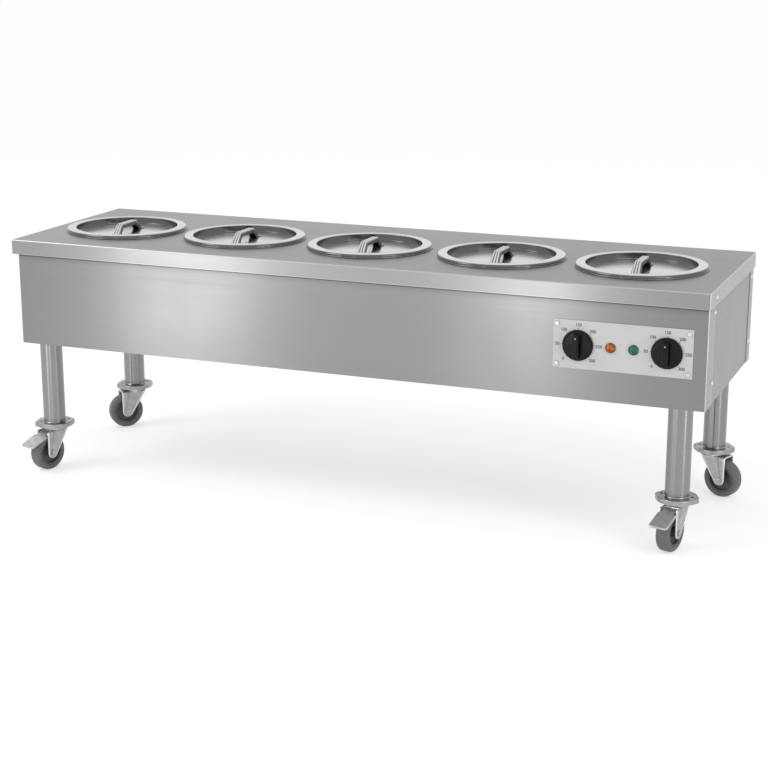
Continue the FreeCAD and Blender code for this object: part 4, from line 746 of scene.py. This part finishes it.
def pedal_shells(at):
    """A brake pedal: the tread's plan outline is raised along a section with a round brim, a turned-down edge
    and a hollow underside; a strip joins it to a turned boss round its pin."""
    slope = math.radians(PEDAL_SLOPE)
    along = np.array([math.cos(slope), 0, -math.sin(slope)])
    normal = np.array([math.sin(slope), 0, math.cos(slope)])
    side = np.array([0, 1.0, 0])
    pin = np.array([PEDAL_PIN_U, 0, PEDAL_PIN_Z])
    length = PEDAL_LENGTH - PEDAL_NECK
    a, b = length / 2, PEDAL_WIDTH / 2
    plan = corner_run([(-a, -b, 3.2), (a, -b, PEDAL_TIP), (a, b, PEDAL_TIP), (-a, b, 3.2)], True, 10)
    top = PEDAL_BOSS_R
    wall = PEDAL_SHEET
    section = corner_run([(wall + 0.5, top - wall, 0), (wall, top - wall, 0.3), (wall, top - PEDAL_LIP, 0.5),
                          (0.0, top - PEDAL_LIP, 0.5), (0.0, top, 1.6), (wall + 0.5, top, 0)], False, 6)
    middle_of = pin + along * (PEDAL_NECK + a)
    tread = loft(plan, section, middle_of, (along, side, normal))
    inner = PEDAL_INNER
    strip_plan = rounded_plan(PEDAL_NECK + 4.0, inner, 0.8, 4)
    strip_section = corner_run([(0.7, top - wall, 0), (0, top - wall, 0.4), (0, top - 0.02, 0.5),
                                (0.7, top - 0.02, 0)])
    strip = loft(strip_plan, strip_section, pin + along * (PEDAL_NECK + 4.0) / 2, (along, side, normal))
    loop = corner_run([(PEDAL_PIN_R + 0.05, -inner / 2, 0), (PEDAL_BOSS_R, -inner / 2, 0.4),
                       (PEDAL_BOSS_R, inner / 2, 0.4), (PEDAL_PIN_R + 0.05, inner / 2, 0)], True)
    boss = lathe(loop, pin, (0, 1, 0), 40, True)
    shoe_plan = rounded_plan(SHOE_LENGTH, inner, 0.6, 4)
    low = 2 * WHEEL_R + SHOE_GAP
    shoe_section = corner_run([(0.5, low, 0), (0, low, 0.3), (0, PEDAL_PIN_Z, 0), (0.5, PEDAL_PIN_Z, 0)])
    shoe = loft(shoe_plan, shoe_section, (PEDAL_PIN_U + SHOE_LENGTH / 2, 0, 0), ((1, 0, 0), (0, 1, 0), (0, 0, 1)))
    return [(at(points), *rest) for points, *rest in (tread, strip, boss, shoe)]


def screw_shell(seat, way, radius, high, turn):
    """A pan screw head over the plain one: a domed disc whose height drops into a cross of two slots."""
    first, second, way = axes_for(way)
    rings = np.concatenate([np.linspace(0.03, 0.72, 22), np.linspace(0.74, 1.0, 9)]) * radius
    angle = np.arange(96) * 2 * np.pi / 96
    x = rings[:, None] * np.cos(angle + turn)[None]
    y = rings[:, None] * np.sin(angle + turn)[None]
    dome = high * np.sqrt(np.maximum(1 - (rings / (radius * 1.02)) ** 4, 0.0))[:, None] + 0.0 * x

    def slot_share(across, along):
        inside = np.clip((0.17 * radius - np.abs(across)) / (0.1 * radius), 0, 1)
        return inside * np.clip((0.62 * radius - np.abs(along)) / (0.16 * radius), 0, 1)

    cut = np.maximum(slot_share(x, y), slot_share(y, x))
    rise = dome * (1 - 0.6 * cut)
    grid = np.array(seat) + (rings[:, None] * np.cos(angle)[None])[..., None] * first \
        + (rings[:, None] * np.sin(angle)[None])[..., None] * second + rise[..., None] * way
    skirt = np.array(seat) + radius * (np.cos(angle)[:, None] * first + np.sin(angle)[:, None] * second)
    return shell(np.concatenate([grid, skirt[None]]), around=True, caps=True)


def caster_place(x, y, u_way):
    """Takes a caster's own points, given along its trail, across it and up, to their places on the part."""
    turn = np.array([u_way, [-u_way[1], u_way[0], 0], [0, 0, 1]])
    base = np.array([x, y, 0])

    def place(points):
        return base + points @ turn

    return place


for k in range(1, 6):
    n = str(k)
    x, y, _ = middle("lid_" + n)
    piece("lid_pressed_" + n, [lathe(lid_profile(), (x, y, 0), steps=160)], "lid_body_" + n, LID_STEEL,
          ["lid_" + n])
    piece("handle_ribbed_" + n, [handle_shell((x, y, LID_PLATE))], "lid_body_" + n, HANDLE_STEEL,
          ["lid_handle_" + n], 50.0)
    piece("pot_drawn_" + n, [lathe(pot_profile(), (x, y, 0), steps=160)], "pot_body_" + n, POT_STEEL,
          ["pot_" + n])

PLATE_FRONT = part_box("control_plate")[0][1] / MM
for side in ("left", "right"):
    at = JOINTS[side + "_knob_turn"]["pos_m"]
    face = np.array([at[0] / MM, PLATE_FRONT - KNOB_GAP, at[2] / MM])
    piece(side + "_knob_moulded", knob_shells(face), side + "_knob_body", KNOB_BLACK,
          [side + "_knob"], 40.0)
    dots = [dot_shell(face + np.array([0, -KNOB_HEIGHT, 17.5]), 1.3, 0.12),
            dot_shell(face + np.array([0, -KNOB_SKIRT * 0.8, 27.2]), 1.1, 0.5)]
    piece(side + "_knob_marks", dots, side + "_knob_body", MARK_WHITE)

for colour, glass in (("amber", AMBER), ("green", GREEN)):
    x, _, z = middle(colour + "_lamp_lens")
    piece(colour + "_lamp_dome", [lamp_shell((x, PLATE_FRONT, z))], "cabinet", glass,
          [colour + "_lamp_lens"])

LEG_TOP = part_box("leg_front_left")[1][2] / MM
LEG_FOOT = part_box("leg_front_left")[0][2] / MM
for corner in CORNERS:
    axis_x, axis_y, _ = middle("leg_" + corner)
    hub = np.array(JOINTS["roll_" + corner]["pos_m"]) / MM
    axle = np.array(JOINTS["roll_" + corner]["axis"])
    at = caster_place(axis_x, axis_y, (hub - [axis_x, axis_y, WHEEL_R]) / TRAIL)
    braked = corner.startswith("front")
    piece("leg_tube_" + corner, [leg_shell((axis_x, axis_y, LEG_FOOT), LEG_TOP)], "cabinet", LEG_STEEL,
          ["leg_" + corner])
    piece("tyre_moulded_" + corner, [tyre_shell(hub, axle)], "wheel_" + corner, TYRE_GREY,
          ["tyre_" + corner])
    piece("hub_moulded_" + corner, [hub_shell(hub, axle)], "wheel_" + corner, HUB_GREY,
          ["hub_" + corner])
    piece("fork_pressed_" + corner, fork_shells(at, braked), "caster_" + corner, FORK_ZINC,
          ["fork_" + corner])
    if braked:
        piece("pedal_pressed_" + corner, pedal_shells(at), "brake_" + corner, PEDAL_ZINC,
              ["pedal_" + corner])

CAB_LOW, CAB_HIGH = (np.array(c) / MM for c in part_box("front_panel"))
SLAB_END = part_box("top_slab")[1][0] / MM
FRONT_ROW, BACK_ROW = CAB_HIGH[1] - SCREW_ROW_INSET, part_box("back_panel")[0][1] / MM + SCREW_ROW_INSET
heads = [screw_shell((SLAB_END, FRONT_ROW, SLAB_SCREW_Z), (1, 0, 0), SIDE_SCREW_R, SIDE_SCREW, 0.4)]
for y in (FRONT_ROW, BACK_ROW):
    for z in SIDE_SCREW_Z:
        heads.append(screw_shell((CAB_HIGH[0], y, z), (1, 0, 0), SIDE_SCREW_R, SIDE_SCREW, 0.01 * z))
        heads.append(screw_shell((CAB_LOW[0], y, z), (-1, 0, 0), SIDE_SCREW_R, SIDE_SCREW, 0.013 * z))
piece("side_screw_heads", heads, "cabinet", SCREW_BRIGHT, (), 60.0)

PLATE_LOW, PLATE_HIGH = (np.array(c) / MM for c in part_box("control_plate"))
mid, half = (PLATE_LOW + PLATE_HIGH) / 2, (PLATE_HIGH - PLATE_LOW) / 2
heads = []
for sx in (-1, 1):
    for sz in (-1, 1):
        seat = (mid[0] + sx * (half[0] - SCREW_END_INSET), PLATE_FRONT, mid[2] + sz * (half[2] - SCREW_EDGE_INSET))
        heads.append(screw_shell(seat, (0, -1, 0), SCREW_HEAD_R + HEAD_COVER, SCREW_HEAD + HEAD_COVER,
                                 0.5 + 0.9 * sx + 0.6 * sz))
piece("plate_screw_heads", heads, "cabinet", SCREW_DARK, (), 60.0)

NODE_FINISH = {"top_slab": TOP_STEEL, "front_panel": FRONT_STEEL, "back_panel": FRONT_STEEL,
               "base_panel": FRONT_STEEL, "left_side_panel": SIDE_STEEL, "right_side_panel": SIDE_STEEL,
               "water_tank": INNER_STEEL,
               "control_plate": PLATE_PALE, "cabinet_screws": SCREW_ZINC, "control_plate_screws": SCREW_ZINC,
               "foot_flanges": FLANGE_STEEL, "caster_heads": FLANGE_STEEL, "flange_bolts": SCREW_DARK,
               "leg_sockets": FLANGE_STEEL, "heating_elements": ELEMENT_DARK, "lamp_bodies": DARK_PLASTIC,
               "thermostats": DARK_PLASTIC, "terminal_block": DARK_PLASTIC, "cable_gland": DARK_PLASTIC}
for corner in CORNERS:
    NODE_FINISH["axle_" + corner] = AXLE_STEEL
for name, material in NODE_FINISH.items():
    mesh = frame["nodes"][name].data
    mesh.materials.clear()
    mesh.materials.append(material)


def print_marks():
    """Scale figures and strokes on the plate: flat letter outlines and short bars just in front of it, seven to a
    dial, from lower left over the top to lower right."""
    points, faces = [], []
    base = 0
    for side in ("left", "right"):
        at = np.array(JOINTS[side + "_knob_turn"]["pos_m"]) / MM
        for k in range(FIGURES):
            bearing = math.radians(FIRST_BEARING - BEARING_STEP * k)
            way = np.array([math.cos(bearing), math.sin(bearing)])
            aside = np.array([-way[1], way[0]])
            text = bpy.data.curves.new("figure", "FONT")
            text.body = str(FIGURE_STEP * k)
            text.size = FIGURE_SIZE
            text.offset = FIGURE_BOLD
            text.align_x = "CENTER"
            text.align_y = "CENTER"
            holder = add("figure", text)
            made = bpy.data.meshes.new_from_object(holder.evaluated_get(bpy.context.evaluated_depsgraph_get()))
            flat = np.zeros(len(made.vertices) * 3)
            made.vertices.foreach_get("co", flat)
            flat = flat.reshape(-1, 3)[:, :2] + way * (FIGURE_REACH + FIGURE_SPREAD * abs(way[0]))
            near, far, thick = way * STROKE_FROM, way * STROKE_TO, aside * STROKE_HALF
            stroke = np.array([near + thick, far + thick, far - thick, near - thick])
            polygons = [list(p.vertices) for p in made.polygons]
            for outline, sides in ((flat, polygons), (stroke, [[0, 1, 2, 3]])):
                depth = np.full(len(outline), PLATE_FRONT - PRINT_LIFT)
                points.append(np.stack([at[0] + outline[:, 0], depth, at[2] + outline[:, 1]], 1))
                faces += [[base + i for i in ring] for ring in sides]
                base += len(outline)
            bpy.data.objects.remove(holder)
            bpy.data.curves.remove(text)
            bpy.data.meshes.remove(made)
    mesh = bpy.data.meshes.new("scale_prints")
    mesh.from_pydata(np.concatenate(points) * MM, [], faces)
    normals = np.zeros(len(faces) * 3)
    mesh.polygons.foreach_get("normal", normals)
    wrong = normals.reshape(-1, 3)[:, 1] > 0
    if wrong.any():
        mesh.clear_geometry()
        mesh.from_pydata(np.concatenate(points) * MM, [], [f[::-1] if w else f for f, w in zip(faces, wrong)])
    mesh.materials.append(PRINT_BLACK)
    made = add("scale_prints", mesh)
    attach(made, "cabinet")


print_marks()


def background_rays(tree):
    """1 for the rays that show the white background: the camera's, metal's reflections and what passes glass."""
    path = node(tree, "LightPath").outputs
    mirrored = sums(tree, "MAXIMUM", path["Is Glossy Ray"], path["Is Transmission Ray"])
    return sums(tree, "MAXIMUM", path["Is Camera Ray"], mirrored)


def studio_floor():
    """A wide plain pale floor that keeps the object's shadow. It looks a little lighter to the camera, and in metal
    and glass, than the light on it makes it."""
    mesh = bpy.data.meshes.new("studio_floor")
    far = FLOOR_REACH
    mesh.from_pydata([(-far, -far, 0), (far, -far, 0), (far, far, 0), (-far, far, 0)], [], [(0, 1, 2, 3)])
    material, tree, shader = finish("floor_white_paper", (FLOOR_TONE, FLOOR_TONE, FLOOR_TONE), 0.0, 0.9,
                                    specular_ior_level=0.0, emission_color=(1, 1, 1, 1))
    feed(shader, emission_strength=times(tree, background_rays(tree), FLOOR_GLOW))
    mesh.materials.append(material)
    made = add("studio_floor", mesh)


def studio_world():
    """White to the camera and in metal and glass, with an even soft light for all else."""
    world = bpy.data.worlds.new("studio")
    bpy.context.scene.world = world
    world.use_nodes = True
    tree = world.node_tree
    back = tree.nodes["Background"]
    seen = background_rays(tree)
    light = node(tree, "Mix", {0: seen, 2: WORLD_LIGHT, 3: 1.0}).outputs[0]
    back.inputs["Color"].default_value = (1, 1, 1, 1)
    tree.links.new(light, back.inputs["Strength"])


def soft_lamp(name, place, target, size, power):
    """A soft box, its size given as width and height, that faces a target."""
    lamp = bpy.data.lights.new(name, "AREA")
    lamp.shape = "RECTANGLE"
    lamp.size, lamp.size_y = size
    lamp.energy = power
    made = add(name, lamp)
    made.location = place
    made.visible_camera = False
    way = np.array(target) - np.array(place)
    flat = math.hypot(way[0], way[1])
    made.rotation_euler = (math.atan2(flat, -way[2]), 0, math.atan2(-way[0], way[1]))


studio_floor()
studio_world()
soft_lamp("key_soft_box", (-2.6, -1.6, 3.0), (0, 0, 0.4), (1.6, 1.6), 26.0)
soft_lamp("fill_soft_box", (2.8, -1.6, 2.2), (0, 0, 0.4), (1.6, 1.6), 12.0)
soft_lamp("left_strip", (-1.38, -2.16, 0.29), (-0.335, -0.224, 0.29), (0.35, 0.54), 5.0)
soft_lamp("middle_strip", (-0.19, -2.33, 0.29), (0.455, -0.224, 0.29), (0.25, 0.54), 3.0)
soft_lamp("low_apron", (-0.78, -2.45, 0.27), (0.1, -0.224, 0.27), (0.95, 0.5), 1.3)
soft_lamp("leg_strip", (2.13, -0.97, 0.3), (0.74, -0.17, 0.25), (0.25, 0.7), 3.6)

camera = bpy.data.cameras.new("camera")
camera.sensor_width = SENSOR
camera.lens = SENSOR * FOCAL_PIXELS / PHOTO_WIDTH
viewer = add("camera", camera)
viewer.location = (CAMERA_X, CAMERA_Y + middle("top_slab")[1] * MM, CAMERA_Z)
viewer.rotation_euler = (math.pi / 2 - math.radians(CAMERA_TILT), 0, math.radians(CAMERA_TURN))
bpy.context.scene.camera = viewer
bpy.context.scene.view_settings.view_transform = "Standard"
